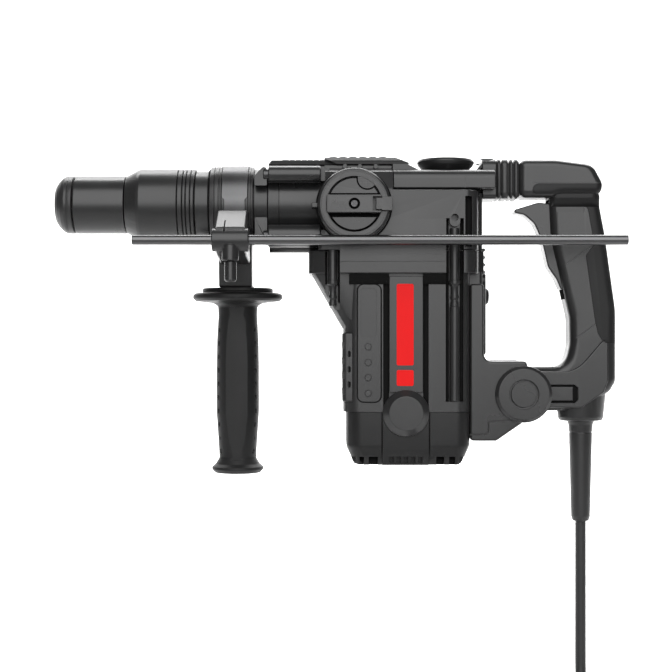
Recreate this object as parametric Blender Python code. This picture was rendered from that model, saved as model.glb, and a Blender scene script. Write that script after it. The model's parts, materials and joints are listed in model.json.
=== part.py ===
"""Corded rotary hammer with a side handle, a depth rod and a sprung D-handle.

The frame: the nose points to -X, +Z is up and the tool's middle plane is y = 0. The origin is at
the middle of the main grip. Helpers take millimetres and build in metres.
"""

import math

import bmesh
import bpy
from mathutils import Matrix, Vector

MM = 0.001
GAP = 0.3            # clearance between neighbouring solids
SIDES = (("left", -1), ("right", 1))
EXACT_FAILS_ON = ("gear_housing", "motor_housing", "handle_bracket", "connecting_rod")

# Axes
BORE_Z = 58.8        # hammer bore, along X
MOTOR_X = -150.0     # motor shaft, along Z
CRANK_X = -117.0     # crank shaft, along Z
LAY_X = -184.0       # intermediate shaft, along Z
GRIP_X = -289.0      # side grip, along Z
BUTTON_Z = -18.0     # lock-on button, along X
CORD_X = -1.3        # cord exit, along Z
GREASE_X = -114.8    # grease cap, along Z
DIAL_X, DIAL_Z = -192.0, 54.2      # mode dial, along Y
PIVOT_X, PIVOT_Z = -53.5, -98.8    # rear handle's pivot, along Y
ROD_Y, ROD_Z = -72.0, 24.75        # depth rod, along X

# Chuck and spindle
NOSE_X = -441.0
CAP_BACK = -424.5
NOSE_R = 24.2
SLEEVE_FRONT, SLEEVE_BACK, SLEEVE_R = -384.0, -323.3, 30.0
HOLDER_R, SHANK_R = 17.0, 9.2
TUBE_FRONT, TUBE_BACK, TUBE_R, CYLINDER_R = -305.7, -172.0, 21.5, 17.2
PISTON_R = 16.9
NECK_R = 28.0
COLLAR_FRONT, COLLAR_BACK, COLLAR_R = -310.5, -274.5, 32.0

# Housings
HOUSING_FRONT, BLOCK_FRONT, BLOCK_BACK = -262.7, -222.0, -86.0
BLOCK_LOW, SEAM_Z, BLOCK_TOP = 18.4, 67.0, 90.2
BLOCK_HALF, ARM_HALF, TOP_HALF = 47.0, 33.0, 22.0
MOTOR_FRONT, MOTOR_BACK, SPINE_BACK = -200.8, -97.4, -86.0
MOTOR_HALF, SHOULDER_HALF, SPINE_HALF = 44.0, 50.0, 26.0
MOTOR_LOW, CAP_LOW, SPINE_LOW = -112.7, -156.5, -71.0
MOTOR_BORE = 40.0

# Gears: the crank gear and the intermediate gear both meet the armature's pinion
PINION_TEETH, CRANK_TEETH, LAY_TEETH = 7, 41, 44
PINION_R, CRANK_GEAR_R, LAY_GEAR_R = 4.9, 27.8, 28.8
GEAR_LOW, GEAR_HIGH = 8.0, 18.0
STROKE = 22.0

# Rear handle
GRIP_HALF, TOP_BAR_HALF, ARM_LOW_HALF, TONGUE_HALF = 17.0, 19.0, 26.0, 14.0
CHEEK_HALF = 34.0
HANDLE_FRONT = -55.2

# Cord
CORD_R = 4.5
BOOT_TOP, BOOT_LOW = -117.0, -206.0
HANG_LOW = -330.0
BEND_R = 45.0
COIL_R, COIL_ROWS, COIL_COLUMNS = 49.5, 4, 3
FLOOR_Z = HANG_LOW - BEND_R - CORD_R * (2 * COIL_ROWS - 1)
COIL_X, COIL_Y = CORD_X - COIL_R, -BEND_R
PLUG_X, PLUG_R = -124.0, 19.0

PALETTE = {
    "housing": ((0.075, 0.075, 0.078), 0.5, 0.0),
    "casting": ((0.06, 0.06, 0.063), 0.45, 0.3),
    "rubber": ((0.025, 0.025, 0.026), 0.8, 0.0),
    "trim": ((0.09, 0.09, 0.092), 0.4, 0.0),
    "steel": ((0.36, 0.36, 0.37), 0.3, 1.0),
    "dark_steel": ((0.1, 0.1, 0.11), 0.35, 1.0),
    "copper": ((0.7, 0.36, 0.2), 0.4, 1.0),
    "carbon": ((0.04, 0.04, 0.04), 0.6, 0.0),
    "cable": ((0.02, 0.02, 0.021), 0.6, 0.0),
}


# ---------------------------------------------------------------- helpers

def finish_of(name):
    """The Principled material of that name, made on first use."""
    found = bpy.data.materials.get(name)
    if found:
        return found
    colour, roughness, metallic = PALETTE[name]
    made = bpy.data.materials.new(name)
    made.use_nodes = True
    shader = made.node_tree.nodes["Principled BSDF"]
    shader.inputs["Base Color"].default_value = (*colour, 1.0)
    shader.inputs["Roughness"].default_value = roughness
    shader.inputs["Metallic"].default_value = metallic
    return made


def solid(name, points, faces, finish):
    """An object from points in millimetres, with its faces turned outwards."""
    mesh = bpy.data.meshes.new(name)
    mesh.from_pydata([Vector(p) * MM for p in points], [], faces)
    work = bmesh.new()
    work.from_mesh(mesh)
    bmesh.ops.recalc_face_normals(work, faces=work.faces)
    work.to_mesh(mesh)
    work.free()
    mesh.shade_smooth()
    mesh.set_sharp_from_angle(angle=math.radians(35))
    mesh.materials.append(finish_of(finish))
    made = bpy.data.objects.new(name, mesh)
    bpy.context.collection.objects.link(made)
    return made


def placed(axis, along, u, v):
    """A point from its place along an axis and its two coordinates across it."""
    return {"X": (along, u, v), "Y": (u, along, v), "Z": (u, v, along)}[axis]


def turned(name, axis, centre, profile, finish="steel", sides=20):
    """A body turned about an axis: (along, radius) points, closed on themselves unless they end on it."""
    points, rings = [], []
    for along, radius in profile:
        count = sides if radius else 1
        rings.append(range(len(points), len(points) + count))
        for i in range(count):
            angle = math.tau * i / sides
            u = centre[0] + radius * math.cos(angle)
            v = centre[1] + radius * math.sin(angle)
            points.append(placed(axis, along, u, v))
    closed = bool(profile[0][1] and profile[-1][1])
    faces = []
    for a, b in zip(rings, rings[1:] + rings[:1] if closed else rings[1:]):
        for i in range(sides):
            corners = [a[i % len(a)], a[(i + 1) % len(a)], b[(i + 1) % len(b)], b[i % len(b)]]
            faces.append(list(dict.fromkeys(corners)))
    return solid(name, points, faces, finish)


def rod(name, axis, centre, low, high, radius, finish="steel", sides=16):
    return turned(name, axis, centre, [(low, 0), (low, radius), (high, radius), (high, 0)], finish, sides)


def ring(name, axis, centre, low, high, inner, outer, finish="steel", sides=20):
    profile = [(low, inner), (low, outer), (high, outer), (high, inner)]
    return turned(name, axis, centre, profile, finish, sides)


def rounded(corners, step=30):
    """The outline through (u, v, radius) corners, each rounded by an arc of that radius."""
    outline = []
    for i, (u, v, radius) in enumerate(corners):
        here = Vector((u, v))
        back = (Vector(corners[i - 1][:2]) - here).normalized()
        on = (Vector(corners[(i + 1) % len(corners)][:2]) - here).normalized()
        half = back.angle(on) / 2
        if not radius or half > math.radians(88):
            outline.append(here)
            continue
        centre = here + (back + on).normalized() * (radius / math.sin(half))
        first = here + back * (radius / math.tan(half)) - centre
        turn = (here + on * (radius / math.tan(half)) - centre).angle_signed(first)
        count = max(1, round(abs(math.degrees(turn)) / step))
        for k in range(count + 1):
            outline.append(centre + Matrix.Rotation(turn * k / count, 2) @ first)
    return outline


def shrunk(outline, by):
    """The outline moved inwards by a distance, corner for corner."""
    area = sum(a.cross(b) for a, b in zip(outline, outline[1:] + outline[:1]))
    moved = []
    for i, here in enumerate(outline):
        back = (here - outline[i - 1]).normalized()
        on = (outline[(i + 1) % len(outline)] - here).normalized()
        inward = (back + on).normalized().orthogonal() * math.copysign(1, area)
        moved.append(here + inward * by / max(0.4, math.cos(back.angle(on) / 2)))
    return moved


def prism(name, axis, outline, low, high, finish="housing", chamfer=0.0):
    """An outline pushed along an axis, with both rims chamfered if a width is given."""
    layers = [(low, outline), (high, outline)]
    if chamfer:
        inner = shrunk(outline, chamfer)
        layers = [(low, inner), (low + chamfer, outline), (high - chamfer, outline), (high, inner)]
    points = [placed(axis, along, p.x, p.y) for along, shape in layers for p in shape]
    count = len(outline)
    faces = [list(range(count)), list(range(len(points) - count, len(points)))]
    for start in range(0, len(points) - count, count):
        for i in range(count):
            j = (i + 1) % count
            faces.append([start + i, start + j, start + count + j, start + count + i])
    return solid(name, points, faces, finish)


def box(name, low, high, finish="housing"):
    corners = [(low[0], low[1]), (high[0], low[1]), (high[0], high[1]), (low[0], high[1])]
    return prism(name, "Z", [Vector(c) for c in corners], low[2], high[2], finish)


def gear_outline(centre, teeth, tip, root):
    """A toothed outline: each tooth is a flat tip between two sloping flanks, with a sharp root."""
    outline = []
    for i in range(teeth):
        for part, radius in ((0.0, root), (0.32, tip), (0.68, tip)):
            angle = math.tau * (i + part) / teeth
            outline.append(Vector(centre) + Vector((math.cos(angle), math.sin(angle))) * radius)
    return outline


def combine(target, operation, *tools):
    """Boolean modifiers on the target; the tools become guides, which are no part of the model."""
    for tool in tools:
        modifier = target.modifiers.new(tool.name, "BOOLEAN")
        modifier.operation = operation
        modifier.solver = "MANIFOLD" if target.name in EXACT_FAILS_ON else "EXACT"
        modifier.object = tool
        tool.hide_render = True
        tool.display_type = "WIRE"
    return target


def join(target, *tools):
    return combine(target, "UNION", *tools)


def cut(target, *tools):
    return combine(target, "DIFFERENCE", *tools)


def body_empty(name, place, *pieces, parent=None):
    """An empty on a joint's axis that carries the pieces of one moving body; each stays where it is."""
    empty = bpy.data.objects.new(name, None)
    place = Vector(place) * MM
    empty.location = place
    bpy.context.collection.objects.link(empty)
    if parent:
        empty.parent = parent
        empty.matrix_parent_inverse = Matrix.Translation(-parent.location)
    for piece in pieces:
        piece.parent = empty
        piece.matrix_parent_inverse = Matrix.Translation(-place)
    return empty


# ---------------------------------------------------------------- chuck, spindle and hammer work

def make_chuck():
    bore = (0, BORE_Z)
    cap = turned("dust_cap", "X", bore, [
        (NOSE_X + 2, SHANK_R + 0.4), (NOSE_X, 11.6), (NOSE_X, 14.8), (NOSE_X + 2.5, 18), (NOSE_X + 5.5, 20.8),
        (NOSE_X + 8.5, 22.8), (NOSE_X + 12, 24), (CAP_BACK, NOSE_R), (CAP_BACK, SHANK_R + 0.4)], "rubber")
    nose = ring("nose_sleeve", "X", bore, CAP_BACK + GAP, SLEEVE_FRONT - GAP, HOLDER_R + 0.4, NOSE_R, "trim")
    holder = turned("tool_holder", "X", bore, [
        (CAP_BACK + GAP, SHANK_R), (CAP_BACK + GAP, HOLDER_R), (-340.7, HOLDER_R), (-340.7, 21), (-338, 21),
        (-338, HOLDER_R), (TUBE_FRONT - GAP, HOLDER_R), (TUBE_FRONT - GAP, 12.2), (-352, 12.2), (-352, SHANK_R)])
    rollers = []
    for side, sign in (("upper", 1), ("lower", -1)):
        z = BORE_Z + sign * 12.8
        low, high = sorted((BORE_Z + sign * 6, BORE_Z + sign * 20))
        cut(holder, box(f"roller_slot_{side}", (-404, -3.4, low), (-388, 3.4, high)))
        rollers.append(rod(f"locking_roller_{side}", "X", (0, z), -403, -389, 3, sides=12))
    tube = turned("hammer_tube", "X", bore, [
        (TUBE_FRONT, 12.5), (TUBE_FRONT, TUBE_R), (TUBE_BACK, TUBE_R), (TUBE_BACK, CYLINDER_R),
        (-300, CYLINDER_R), (-300, 12.5)])
    bevel = turned("bevel_ring_gear", "X", bore, [
        (LAY_X - 20.2, TUBE_R + GAP), (LAY_X - 20.2, 25.5), (LAY_X - 15.2, 28.5), (LAY_X - 9.2, 28.5),
        (LAY_X - 8.5, 26.5), (LAY_X - 8.5, TUBE_R + GAP)],
        "dark_steel", 30)
    sleeve = turned("locking_sleeve", "X", bore, [
        (SLEEVE_FRONT, HOLDER_R + 0.6), (SLEEVE_FRONT, NOSE_R), (SLEEVE_FRONT + 14.5, SLEEVE_R),
        (SLEEVE_BACK, SLEEVE_R), (SLEEVE_BACK, NECK_R + 0.7), (-352, NECK_R + 0.7), (-352, 22),
        (-366, 22), (-366, HOLDER_R + 0.6)], "housing", 24)
    spring = helix("sleeve_spring", 19.6, 1.1, -364.2, -342.2, 4)
    spindle = body_empty("spindle_axis", (-350, 0, BORE_Z), cap, nose, holder, *rollers, tube, bevel, spring)
    body_empty("sleeve_axis", (-350, 0, BORE_Z), sleeve, parent=spindle)

    bolt = turned("impact_bolt", "X", bore, [
        (-350, 0), (-350, 8.4), (-338, 8.4), (-336, 11.9), (-308, 11.9), (-308, 0)])
    striker = turned("striker", "X", bore, [
        (-298, 0), (-298, 9), (-290, 9), (-288, PISTON_R), (-262, PISTON_R), (-262, 0)])
    body_empty("impact_bolt_axis", (-330, 0, BORE_Z), bolt, parent=spindle)
    body_empty("striker_axis", (-280, 0, BORE_Z), striker, parent=spindle)


def helix(name, radius, wire, low, high, turns):
    """A closed round-wire spring about the bore, swept as one tube with flat ends."""
    around, across = 10, 5
    points, faces = [], []
    count = around * turns + 1
    for i in range(count):
        angle = math.tau * i / around
        x = low + (high - low) * i / (count - 1)
        for k in range(across):
            turn = math.tau * k / across
            r = radius + wire * math.cos(turn)
            points.append((x + wire * math.sin(turn), r * math.cos(angle), BORE_Z + r * math.sin(angle)))
    for i in range(count - 1):
        for k in range(across):
            j = (k + 1) % across
            faces.append([across * i + k, across * i + j, across * (i + 1) + j, across * (i + 1) + k])
    faces.append(list(range(across)))
    faces.append(list(range(len(points) - across, len(points))))
    return solid(name, points, faces, "steel")


def make_piston():
    pin_x, eye_x = -205.0, CRANK_X + STROKE / 2
    piston = turned("piston", "X", (0, BORE_Z), [
        (-226, 0), (-226, PISTON_R), (-194, PISTON_R), (-194, 11.5), (-216, 11.5), (-216, 0)], "dark_steel")
    cut(piston, rod("wrist_bore", "Z", (pin_x, 0), BORE_Z - 20, BORE_Z + 20, 4.3))
    wrist = rod("wrist_pin", "Z", (pin_x, 0), BORE_Z - 15, BORE_Z + 15, 4, sides=16)
    beam = [Vector(p) for p in ((pin_x, -4), (eye_x, -5.2), (eye_x, 5.2), (pin_x, 4))]
    conrod = prism("connecting_rod", "Z", beam, BORE_Z - 4, BORE_Z + 4, "dark_steel")
    join(conrod, rod("rod_small_end", "Z", (pin_x, 0), BORE_Z - 5, BORE_Z + 5, 8.2),
         rod("rod_big_end", "Z", (eye_x, 0), BORE_Z - 5, BORE_Z + 5, 11.5))
    join(conrod, rod("crank_pin", "Z", (eye_x, 0), 49, BORE_Z + 5.4, 6, sides=16))
    cut(conrod, rod("rod_small_bore", "Z", (pin_x, 0), BORE_Z - 9, BORE_Z + 9, 4.35))
    body_empty("piston_axis", (pin_x, 0, BORE_Z), piston, wrist, conrod)


def make_gears():
    crank = turned("crank_shaft", "Z", (CRANK_X, 0), [
        (-4, 0), (-4, 7), (38, 7), (38, 16), (48.4, 16), (48.4, 0)], "dark_steel")
    join(crank, prism("crank_gear", "Z", gear_outline((CRANK_X, 0), CRANK_TEETH, CRANK_GEAR_R, 25.6),
                      GEAR_LOW, GEAR_HIGH))
    body_empty("crank_axis", (CRANK_X, 0, 0), crank)

    lay = turned("intermediate_shaft", "Z", (LAY_X, 0), [
        (-4, 0), (-4, 5), (22, 5), (22, 7), (25, 7.8), (35, 5.6), (35, 0)], "dark_steel", 18)
    join(lay, prism("intermediate_gear", "Z", gear_outline((LAY_X, 0), LAY_TEETH, LAY_GEAR_R, 26.6),
                    GEAR_LOW, GEAR_HIGH))
    body_empty("intermediate_axis", (LAY_X, 0, 0), lay)


def make_motor():
    motor = (MOTOR_X, 0)
    shaft = turned("armature_shaft", "Z", motor, [(-141.5, 0), (-141.5, 5), (3, 5), (3, 3.6), (5, 3.4), (5, 0)], sides=20)
    join(shaft, prism("pinion", "Z", gear_outline(motor, PINION_TEETH, PINION_R, 3.5), 4, 24))
    core = turned("armature_core", "Z", motor, [
        (-124, 5.4), (-124, 12), (-109, 12), (-109, 9), (-106, 9), (-106, 14), (-98, 18), (-98, 22), (-52, 22),
        (-52, 18), (-45, 14), (-45, 5.4)], "copper")
    fan = ring("fan", "Z", motor, -40, -38, 5 + GAP, 34, "trim")
    blades = prism("fan_blades", "Z", gear_outline(motor, 12, 32, 11), -38.5, -29, "trim")
    join(fan, cut(blades, rod("fan_bore", "Z", motor, -60, 0, 5 + GAP)))
    body_empty("armature_axis", (MOTOR_X, 0, 0), shaft, core, fan)

    ring("field_stator", "Z", motor, -102, -48, 23.5, 39, "dark_steel")
    ring("shaft_bearing_lower", "Z", motor, -140.5, -131.5, 5 + GAP, 13, sides=20)
    ring("shaft_bearing_upper", "Z", motor, -20, -10, 5 + GAP, 15, sides=20)
    ring("crank_bearing", "Z", (CRANK_X, 0), 22, 34, 7 + GAP, 17.5, sides=20)
    ring("front_bearing", "X", (0, BORE_Z), -322, -306.5, HOLDER_R + GAP, 24.7)
    for side, sign in SIDES:
        near, far = sorted((sign * 12.5, sign * 33))
        box(f"carbon_brush_{side}", (MOTOR_X - 4, near, -121), (MOTOR_X + 4, far, -111), "carbon")


# ---------------------------------------------------------------- housings

def make_gear_case():
    bore = (0, BORE_Z)
    turned("barrel_housing", "X", bore, [
        (SLEEVE_BACK + GAP, 25), (SLEEVE_BACK + GAP, NECK_R), (COLLAR_BACK + GAP, NECK_R),
        (COLLAR_BACK + GAP, 32.5), (HOUSING_FRONT - GAP, 32.5), (HOUSING_FRONT - GAP, TUBE_R + 0.7),
        (-306, TUBE_R + 0.7), (-306, 25)], "casting")

    section = rounded([
        (-BLOCK_HALF, BLOCK_LOW, 3), (BLOCK_HALF, BLOCK_LOW, 3), (BLOCK_HALF, 68, 9), (34, 84, 6),
        (TOP_HALF, 87, 0), (TOP_HALF, BLOCK_TOP, 2), (-TOP_HALF, BLOCK_TOP, 2), (-TOP_HALF, 87, 0),
        (-34, 84, 6), (-BLOCK_HALF, 68, 9)])
    case = prism("gear_housing", "X", section, BLOCK_FRONT, -160.3, "casting", 1.2)
    plan = rounded([(BLOCK_FRONT + 1, -46, 4), (BLOCK_BACK, -42, 16), (BLOCK_BACK, 42, 16), (BLOCK_FRONT + 1, 46, 4)])
    join(case, prism("case_rear", "Z", plan, BLOCK_LOW, SEAM_Z, chamfer=1.0),
         rod("case_barrel", "X", bore, HOUSING_FRONT, -213.3, 31, sides=24),
         box("case_ridge", (HOUSING_FRONT + 0.2, -20, 76), (-214, 20, BLOCK_TOP - 0.2)),
         rod("case_keel", "X", (0, 24.6), HOUSING_FRONT + 0.4, -215, 6, sides=14))
    for side, sign in SIDES:
        for level, z in (("upper", 80), ("lower", 33)):
            join(case, rod(f"screw_boss_{level}_{side}", "X", (sign * 34, z), HOUSING_FRONT + 0.6, -216, 8, sides=16))
    cut(case, rod("tube_bore", "X", bore, -270, -205, 24),
        rod("gear_bore", "X", bore, -211.5, -163, 29.5, sides=24),
        box("crank_room", (-167, -29, 17), (-89, 29, 64.8)),
        box("gear_room", (-210, -30, 17), (-149, 30, 34)),
        rod("grease_hole", "Z", (GREASE_X, 0), 60, 80, 14),
        rod("dial_hole", "Y", (DIAL_X, DIAL_Z), -60, -20, 6))

    cover = rounded([(-21, BLOCK_TOP + GAP, 0), (21, BLOCK_TOP + GAP, 0), (18, 94.5, 2), (-18, 94.5, 2)])
    prism("top_cover", "X", cover, HOUSING_FRONT, -160.3, "housing", 0.8)
    pad = rounded([(-24, 88.4, 0), (-24, 92.9, 3), (-18.5, 96.7, 3), (18.5, 96.7, 3), (24, 92.9, 3), (24, 88.4, 0),
                   (22.5, 88.4, 0), (22.5, 91.2, 1), (19, 94.8, 1), (-19, 94.8, 1), (-22.5, 91.2, 1),
                   (-22.5, 88.4, 0)])
    prism("top_pad", "X", pad, -216, -160.4, "rubber")

    side_view = rounded([
        (-159.9, SEAM_Z + GAP, 0), (-76, SEAM_Z + GAP, 0), (-76, 85, 0), (-138, 85, 0), (-147, 91, 4),
        (-159.9, 91, 0)])
    arm = prism("rear_arm", "Y", side_view, -ARM_HALF, ARM_HALF, "housing", 3)
    collar = rounded([(-19.5, 62.2, 4), (19.5, 62.2, 4), (19.5, 95.5, 7), (-19.5, 95.5, 7)])
    join(arm, prism("arm_collar", "X", collar, BLOCK_BACK + GAP, -73.9, chamfer=1.0),
         box("collar_step", (-88, -17, 70), (-84, 17, 94)))
    cut(arm, rod("arm_hole", "Z", (GREASE_X, 0), 60, 90, 14))
    turned("grease_cap", "Z", (GREASE_X, 0), [
        (74, 0), (74, 13.5), (85.3, 13.5), (85.3, 17.6), (88, 21), (92, 23.8), (94.6, 22.8), (97, 16),
        (97.8, 0)], "housing", 24)


def make_motor_case():
    flange = rounded([(-229, -38, 10), (-204, -SHOULDER_HALF, 12), (BLOCK_BACK, -40, 16), (BLOCK_BACK, 40, 16),
                      (-204, SHOULDER_HALF, 12), (-229, 38, 10)])
    case = prism("motor_housing", "Z", flange, -0.7, BLOCK_LOW - GAP, "housing", 1.2)
    body = rounded([(MOTOR_FRONT, -MOTOR_HALF, 22), (MOTOR_BACK, -MOTOR_HALF, 14), (MOTOR_BACK, MOTOR_HALF, 14),
                    (MOTOR_FRONT, MOTOR_HALF, 22)])
    wedge = [Vector(p) for p in ((-227.5, 1.2), (-227.5, -1), (-200.8, -44.5), (-188, -44.5), (-188, 1.2))]
    join(case, prism("motor_body", "Z", body, MOTOR_LOW, 2.4),
         prism("motor_wedge", "Y", wedge, -28, 28),
         box("motor_spine", (-104, -SPINE_HALF, SPINE_LOW), (SPINE_BACK, SPINE_HALF, 3)))
    pocket = rounded([(-213.6, -30, 20), (-88.8, -30, 20), (-88.8, 30, 20), (-213.6, 30, 20)])
    cut(case, rod("motor_bore", "Z", (MOTOR_X, 0), MOTOR_LOW - 3, -24, MOTOR_BORE, sides=24),
        rod("bearing_seat", "Z", (MOTOR_X, 0), -25, 0, 15.4),
        prism("gear_pocket", "Z", pocket, -4.6, 30),
        rod("button_bore", "X", (0, BUTTON_Z), -97, -70, 7.2))

    low_body = rounded([(-198.4, -43, 22), (MOTOR_BACK, -43, 14), (MOTOR_BACK, 43, 14), (-198.4, 43, 22)])
    cap = prism("end_cap", "Z", low_body, -147, MOTOR_LOW - GAP, "housing")
    foot = shrunk(low_body, 3.5)
    join(cap, prism("cap_foot", "Z", foot, CAP_LOW, -146, chamfer=3))
    cut(cap, rod("cap_room", "Z", (MOTOR_X, 0), -130, -100, 38, sides=24),
        rod("cap_seat", "Z", (MOTOR_X, 0), -143.5, -120, 13 + GAP))

    for side, sign in SIDES:
        profile = [(sign * (MOTOR_HALF + GAP), 0), (sign * (MOTOR_HALF + GAP), 19), (sign * 48.5, 18.2),
                   (sign * 52, 13.8), (sign * 52, 0)]
        turned(f"brush_cap_{side}", "Y", (MOTOR_X, -113.6), profile, "trim", 24)

    turned("lock_on_button", "X", (0, BUTTON_Z), [(-93, 0), (-93, 6.7), (-81.7, 6.7), (-80.2, 5.4), (-80.2, 0)], "trim", 20)
    body_empty("lock_button_axis", (-85, 0, BUTTON_Z), bpy.data.objects["lock_on_button"])


def make_pivot_bracket():
    front = MOTOR_BACK + GAP
    outline = rounded([(front, -137, 4), (-75.5, -137, 4), (-43, -115.7, 12), (-28.5, -98.8, 14), (-40, -77, 16),
                       (-56, -71.6, 6), (front, -71.6, 4)])
    bracket = prism("pivot_bracket", "Y", outline, -CHEEK_HALF, CHEEK_HALF, "housing", 3)
    slot = TONGUE_HALF + 0.6
    cut(bracket, box("bracket_slot", (-78, -slot, -160), (-10, slot, -40)),
        rod("bracket_bore", "Y", (PIVOT_X, PIVOT_Z), -60, 60, 6 + GAP))
    rod("pivot_pin", "Y", (PIVOT_X, PIVOT_Z), -CHEEK_HALF, CHEEK_HALF, 6, "steel", 20)
    for side, sign in SIDES:
        face, rim, top = (sign * (CHEEK_HALF + d) for d in (GAP, 2.2, 4.4))
        turned(f"pivot_cap_{side}", "Y", (PIVOT_X, PIVOT_Z),
               [(face, 0), (face, 23.3), (rim, 23.3), (top, 20.8), (top, 0)], "trim", 24)


# ---------------------------------------------------------------- controls

def make_mode_dial():
    dial = (DIAL_X, DIAL_Z)
    face, bar = -61.0, -66.0
    knob = turned("mode_dial", "Y", dial, [
        (-47.4, 0), (-47.4, 29.2), (face + 2.5, 29.2), (face, 26.4), (face, 22), (face + 3, 21.4), (face + 3, 0)],
        "trim", 28)
    grip = rounded([(DIAL_X - 22.6, DIAL_Z - 7.2, 4), (DIAL_X + 21, DIAL_Z - 7.2, 2), (DIAL_X + 21, DIAL_Z + 7.2, 2),
                    (DIAL_X - 22.6, DIAL_Z + 7.2, 4)])
    join(knob, prism("dial_bar", "Y", grip, bar, face + 5, chamfer=1.2),
         rod("dial_spindle", "Y", dial, -48, -33, 5.6, sides=16))
    cut(knob, box("dial_slot", (DIAL_X + 14.5, -70, DIAL_Z - 5.7), (DIAL_X + 32, face + 6, DIAL_Z + 5.7)))
    tab = rounded([(DIAL_X + 17.6, DIAL_Z - 3.6, 0), (DIAL_X + 22, DIAL_Z - 3.6, 0), (DIAL_X + 22, DIAL_Z - 5.2, 1),
                   (DIAL_X + 30.4, DIAL_Z - 5.2, 1.5), (DIAL_X + 30.4, DIAL_Z + 5.2, 1.5), (DIAL_X + 22, DIAL_Z + 5.2, 1),
                   (DIAL_X + 22, DIAL_Z + 3.6, 0), (DIAL_X + 17.6, DIAL_Z + 3.6, 0)])
    button = prism("dial_lock_button", "Y", tab, -65, face + 5.5, "trim", 0.4)
    holder = body_empty("dial_axis", (DIAL_X, face, DIAL_Z), knob)
    body_empty("dial_button_axis", (DIAL_X + 24, face, DIAL_Z), button, parent=holder)


def make_side_handle():
    bore = (0, BORE_Z)
    width = (COLLAR_FRONT + 0.2, COLLAR_BACK - 0.2)
    bracket = turned("handle_bracket", "X", bore, [
        (COLLAR_FRONT, NECK_R + GAP), (COLLAR_FRONT, COLLAR_R), (-300.8, COLLAR_R), (-300.8, 30.2),
        (-278.6, 30.2), (-278.6, COLLAR_R), (COLLAR_BACK, COLLAR_R), (COLLAR_BACK, NECK_R + GAP)], "housing", 24)
    post = rounded([(-15, -10.9, 2), (15, -10.9, 2), (19, 20, 4), (19, 37, 0), (-18.5, 37, 0), (-18.5, 20, 4)])
    arm = rounded([(-12, 42, 0), (-24, 47, 0), (-31, 50.5, 3), (-47, 50.5, 6), (-78, 33, 6), (-80, 24, 0), (-77, 16, 4),
                   (-60, 13, 6), (-16, 8, 0), (-12, 12, 0)])
    join(bracket, prism("bracket_post", "X", post, -303.8, -276.2),
         prism("bracket_arm", "X", arm, -303.2, -276.8, chamfer=1.5),
         rod("rod_barrel", "X", (ROD_Y, ROD_Z), -304.6, -275.4, 9.2),
         rod("button_boss", "Z", (-290, ROD_Y), 10, 20, 6.4, sides=20))
    cut(bracket, rod("neck_room", "X", bore, width[0] - 20, width[1] + 20, NECK_R + GAP, sides=24),
        rod("rod_hole", "X", (ROD_Y, ROD_Z), -330, -250, 4.4),
        rod("button_hole", "Z", (-290, ROD_Y), 0, 17, 3.4, sides=16),
        rod("bolt_hole", "Z", (GRIP_X, 0), -20, 15, 4.5, sides=16),
        rod("bolt_pocket", "Z", (GRIP_X, 0), 8, 24, 8.5, sides=20))
    band = ring("clamp_band", "X", bore, -300.4, -279, 30.5, 32.6, "steel", 24)
    cut(band, box("band_gap", (-320, -36, 0), (-260, 0, 51)),
        box("band_gap_low", (-320, -20.9, 0), (-260, 20.9, 45)))
    bolt = turned("clamp_bolt", "Z", (GRIP_X, 0), [
        (-150, 0), (-150, 4), (11, 4), (11, 7.8), (18, 7.8), (18, 0)], "steel", 16)
    grip = turned("side_grip", "Z", (GRIP_X, 0), [
        (-155, 0), (-155, 4.5), (-11.3, 4.5), (-11.3, 29.4), (-14.8, 30), (-15.2, 36.3), (-17.5, 37.4), (-21.3, 37.4),
        (-23.6, 35), (-25.4, 17.5), (-29.4, 15.2), (-54.6, 17.2), (-80, 17.7), (-115, 17.7), (-145, 16),
        (-153.8, 16.6), (-155.4, 20.6), (-157.2, 21.6), (-162.4, 21.6), (-165.5, 18.5), (-165.5, 0)], "rubber", 20)
    stop = turned("depth_rod", "X", (ROD_Y, ROD_Z), [
        (-367.8, 0), (-367.8, 3.4), (-367.2, 4), (23.6, 4), (24.2, 3.4), (24.2, 0)], "steel", 16)
    button = turned("depth_lock_button", "Z", (-290, ROD_Y), [
        (-8.6, 0), (-8.6, 3.2), (-7, 4.5), (8, 4.5), (8, 3), (15, 3), (15, 0)], "trim", 16)
    holder = body_empty("side_handle_axis", (GRIP_X, 0, BORE_Z), bracket, band)
    body_empty("clamp_bolt_axis", (GRIP_X, 0, 0), bolt, parent=holder)
    body_empty("side_grip_axis", (GRIP_X, 0, -80), grip, parent=holder)
    body_empty("depth_rod_axis", (GRIP_X, ROD_Y, ROD_Z), stop, parent=holder)
    body_empty("depth_button_axis", (-290, ROD_Y, 8), button, parent=holder)


# ---------------------------------------------------------------- rear handle

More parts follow.
